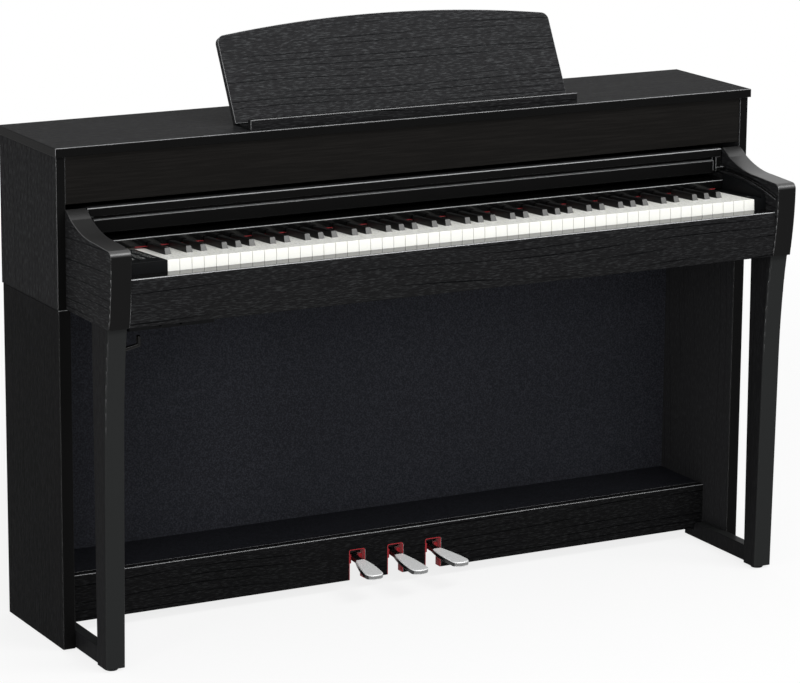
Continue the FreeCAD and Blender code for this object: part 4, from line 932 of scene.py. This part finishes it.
class PIANO_OT_speakers(bpy.types.Operator):
    """Loudspeakers with a rolled surround, cone and dust cap over the holes of the key bed"""
    bl_idname = "piano.speakers"
    bl_label = "Add Loudspeakers"

    def execute(self, context):
        paper = paper_cone("Pressed paper cone")
        low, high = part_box("speakers")
        rim = (high[1] - low[1]) / 2
        y = (low[1] + high[1]) / 2
        z = low[2]
        # dust cap, cone and surround from the centre out, then the basket and the magnet back in
        rings = [(0.004, 0.024), (0.012, 0.021), (0.016, 0.026), (0.018, 0.029), (0.046, 0.006),
                 (0.048, 0.0035), (0.0515, 0.0015), (0.055, 0.0035), (0.0565, 0.0012),
                 (rim - 0.001, 0.0006), (rim, 0.001), (rim, 0.004), (rim - 0.008, 0.006),
                 (0.030, 0.036), (0.030, 0.051), (0.028, 0.052), (0.004, 0.052)]
        x = high[0] - rim
        first = turned("driver_right", (x, y, z), rings, 48)
        smooth(first, 40)
        hand_over(first, paper, "cabinet", "speaker_cone", "speakers")
        second = twin(first, "driver_left", (low[0] + rim - x, 0, 0))
        hand_over(second, paper, "cabinet", "speaker_cone")
        return {"FINISHED"}


class PIANO_OT_screws(bpy.types.Operator):
    """Case screws with a cross recess, in the back board"""
    bl_idname = "piano.screws"
    bl_label = "Add Screws"

    def execute(self, context):
        steel = zinc_steel("Zinc plated screw", 900)
        s = sizes()
        low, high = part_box("back_screws")
        r, tall = s.screw_radius, s.screw_tall
        x = high[0] - s.screw_inset
        rear = high[1]
        rings = [(0.002, 0), (r, 0), (r, tall * 0.55), (r * 0.93, tall * 0.82), (r * 0.76, tall),
                 (0.0006, tall)]
        places = [low[2] + s.screw_inset, (low[2] + high[2]) / 2, high[2] - s.screw_inset]
        first = None
        for side, sx in (("right", 1), ("left", -1)):
            for i, z in enumerate(places):
                name = "screw_%s_%d" % (side, i + 1)
                if first is None:
                    first = turned(name, (x, rear - tall, z), rings, 24, "Y")
                    for wide, high_half in ((s.recess_wide, s.recess), (s.recess, s.recess_wide)):
                        cutter = block("cutter", (x - wide, rear - s.recess_deep, z - high_half),
                                       (x + wide, rear + 0.001, z + high_half))
                        modify(first, "BOOLEAN", object=cutter, operation="DIFFERENCE", solver="EXACT")
                        bpy.data.objects.remove(cutter)
                    smooth(first, 30)
                    start = (x, z)
                    hand_over(first, steel, "cabinet", "rod_steel", "back_screws")
                else:
                    copy = twin(first, name, (sx * x - start[0], 0, z - start[1]))
                    hand_over(copy, steel, "cabinet", "rod_steel")
        return {"FINISHED"}


class PIANO_OT_glides(bpy.types.Operator):
    """Turned plastic glides under the legs and the side boards"""
    bl_idname = "piano.glides"
    bl_label = "Add Foot Glides"

    def execute(self, context):
        plastic = moulded_abs("Polypropylene glide", 2.2, 0.45, 1.5)
        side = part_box("lower_side_right")
        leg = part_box("leg_right")
        pad_x = (side[0][0] + side[1][0]) / 2
        leg_x = (leg[0][0] + leg[1][0]) / 2
        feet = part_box("foot_glides")
        s = sizes()
        spots = [("leg", leg_x, feet[0][1] + s.leg_glide, s.leg_glide, leg[0][2]),
                 ("pad_front", pad_x, side[0][1] + s.glide_inset, s.side_glide, side[0][2]),
                 ("pad_rear", pad_x, feet[1][1] - s.side_glide, s.side_glide, side[0][2])]
        for name, x, y, r, tall in spots:
            rings = [(r * 0.6, 0), (r * 0.9, 0.0), (r, tall * 0.25), (r, tall), (r * 0.5, tall)]
            first = turned("glide_%s_right" % name, (x, y, 0), rings, 32)
            smooth(first, 40)
            if name == "leg":
                hand_over(first, plastic, "cabinet", "frame_plastic", "foot_glides")
            else:
                hand_over(first, plastic, "cabinet", "frame_plastic")
            copy = twin(first, "glide_%s_left" % name, (-2 * x, 0, 0))
            hand_over(copy, plastic, "cabinet", "frame_plastic")
        return {"FINISHED"}


class PIANO_OT_stage(bpy.types.Operator):
    """Pale floor, soft studio lights and the camera"""
    bl_idname = "piano.stage"
    bl_label = "Set Stage"
    plain_light = 0.55  # the world's strength on matt surfaces
    floor_white = 0.82  # how far the floor is white by itself; the rest keeps the shadow

    def execute(self, context):
        scene = context.scene
        scene.view_settings.view_transform = "Standard"
        self.world(scene)
        self.floor()
        self.lamp("softbox_top", (0.9, -2.1, 2.9), (0.1, -0.1, 0.7), 3.2, 0.7, 74)
        self.lamp("softbox_front", (-2.0, -3.8, 1.9), (-0.1, -0.1, 0.6), 1.6, 1.2, 42)
        self.lamp("strip_left", (-2.8, -1.5, 0.75), (-0.7, -0.1, 0.75), 0.35, 1.2, 12)
        self.camera(scene)
        return {"FINISHED"}

    def seen(self, tree):
        """1 for what the camera, a reflection or clear glass sees, 0 for plain lighting."""
        path = add(tree, "ShaderNodeLightPath")
        shown = path.outputs["Is Camera Ray"]
        for ray in ("Is Glossy Ray", "Is Transmission Ray"):
            shown = add(tree, "ShaderNodeMath", {0: shown, 1: path.outputs[ray]}, operation="MAXIMUM")
        return shown

    def world(self, scene):
        """A white backdrop that lights matt surfaces less than it shows."""
        world = bpy.data.worlds.new("Studio")
        scene.world = world
        world.use_nodes = True
        tree = world.node_tree
        tree.nodes.clear()
        strength = add(tree, "ShaderNodeMapRange", {"Value": self.seen(tree),
                                                    "To Min": self.plain_light})
        back = add(tree, "ShaderNodeBackground", {"Color": (1, 1, 1, 1), "Strength": strength})
        add(tree, "ShaderNodeOutputWorld", {"Surface": back})

    def floor(self):
        """A white floor that keeps a soft shadow and fades into the backdrop."""
        bpy.ops.object.select_all(action="DESELECT")
        bpy.ops.mesh.primitive_circle_add(vertices=96, radius=9, fill_type="NGON")
        floor = bpy.context.object
        floor.name = "studio_floor"
        mat, tree, coords = blank("Painted floor")
        paint = add(tree, "ShaderNodeBsdfDiffuse", {"Color": (0.9, 0.9, 0.9, 1)})
        white = add(tree, "ShaderNodeEmission", {"Strength": 1.0})
        share = add(tree, "ShaderNodeMath", {0: self.seen(tree), 1: self.floor_white},
                    operation="MULTIPLY")
        lit = add(tree, "ShaderNodeMixShader", {0: share, 1: paint, 2: white})
        away = add(tree, "ShaderNodeVectorMath", {0: coords}, operation="LENGTH").outputs["Value"]
        fade = add(tree, "ShaderNodeMapRange", {"Value": away, "From Min": 1.3, "From Max": 3.5})
        clear = add(tree, "ShaderNodeBsdfTransparent")
        both = add(tree, "ShaderNodeMixShader", {0: fade, 1: lit, 2: clear})
        add(tree, "ShaderNodeOutputMaterial", {"Surface": both})
        floor.data.materials.append(mat)

    def lamp(self, name, place, aim, wide, deep, power):
        """A softbox at a place, turned to what it lights; power in watts."""
        data = bpy.data.lights.new(name, "AREA")
        data.shape = "RECTANGLE"
        data.size, data.size_y = wide, deep
        data.energy = power
        lamp = bpy.data.objects.new(name, data)
        bpy.context.collection.objects.link(lamp)
        lamp.location = place
        lamp.rotation_euler = (Vector(aim) - Vector(place)).to_track_quat("-Z", "Y").to_euler()

    def camera(self, scene):
        """The camera, in front of the piano to its left, a little above it."""
        data = bpy.data.cameras.new("camera")
        data.sensor_width = 36
        data.lens = 162.3
        data.clip_end = 60
        camera = bpy.data.objects.new("camera", data)
        bpy.context.collection.objects.link(camera)
        yaw, pitch, roll = (math.radians(a) for a in (28.38, 13.47, 0.41))
        ahead = Vector((math.sin(yaw) * math.cos(pitch), math.cos(yaw) * math.cos(pitch),
                        -math.sin(pitch)))
        level = Vector((math.cos(yaw), -math.sin(yaw), 0))
        up = level.cross(ahead)
        right = math.cos(roll) * level + math.sin(roll) * up
        above = -math.sin(roll) * level + math.cos(roll) * up
        camera.matrix_world = (Matrix.Translation((-3.157, -5.8075, 2.076))
                               @ Matrix((right, above, -ahead)).transposed().to_4x4())
        scene.camera = camera


class PIANO_PT_panel(bpy.types.Panel):
    """Buttons for every step of the piano's finish"""
    bl_idname = "PIANO_PT_panel"
    bl_label = "Home Digital Piano"
    bl_space_type = "VIEW_3D"
    bl_region_type = "UI"
    bl_category = "Piano"

    def draw(self, context):
        for step in STEPS:
            self.layout.operator(step.bl_idname)
        for group in (context.scene.piano_colours, context.scene.piano_sizes):
            box = self.layout.box()
            for key in group.__annotations__:
                box.prop(group, key)


STEPS = (PIANO_OT_cabinet, PIANO_OT_keyboard, PIANO_OT_fittings, PIANO_OT_pedals, PIANO_OT_felts,
         PIANO_OT_marks, PIANO_OT_sockets, PIANO_OT_speakers, PIANO_OT_screws, PIANO_OT_glides,
         PIANO_OT_stage)
CLASSES = (PianoColours, PianoSizes, *STEPS, PIANO_PT_panel)


def register():
    for cls in CLASSES:
        bpy.utils.register_class(cls)
    bpy.types.Scene.piano_colours = bpy.props.PointerProperty(type=PianoColours)
    bpy.types.Scene.piano_sizes = bpy.props.PointerProperty(type=PianoSizes)


def unregister():
    del bpy.types.Scene.piano_sizes
    del bpy.types.Scene.piano_colours
    for cls in reversed(CLASSES):
        bpy.utils.unregister_class(cls)


def main():
    register()
    for step in STEPS:
        group, name = step.bl_idname.split(".")
        getattr(getattr(bpy.ops, group), name)()


if __name__ == "__main__":
    main()
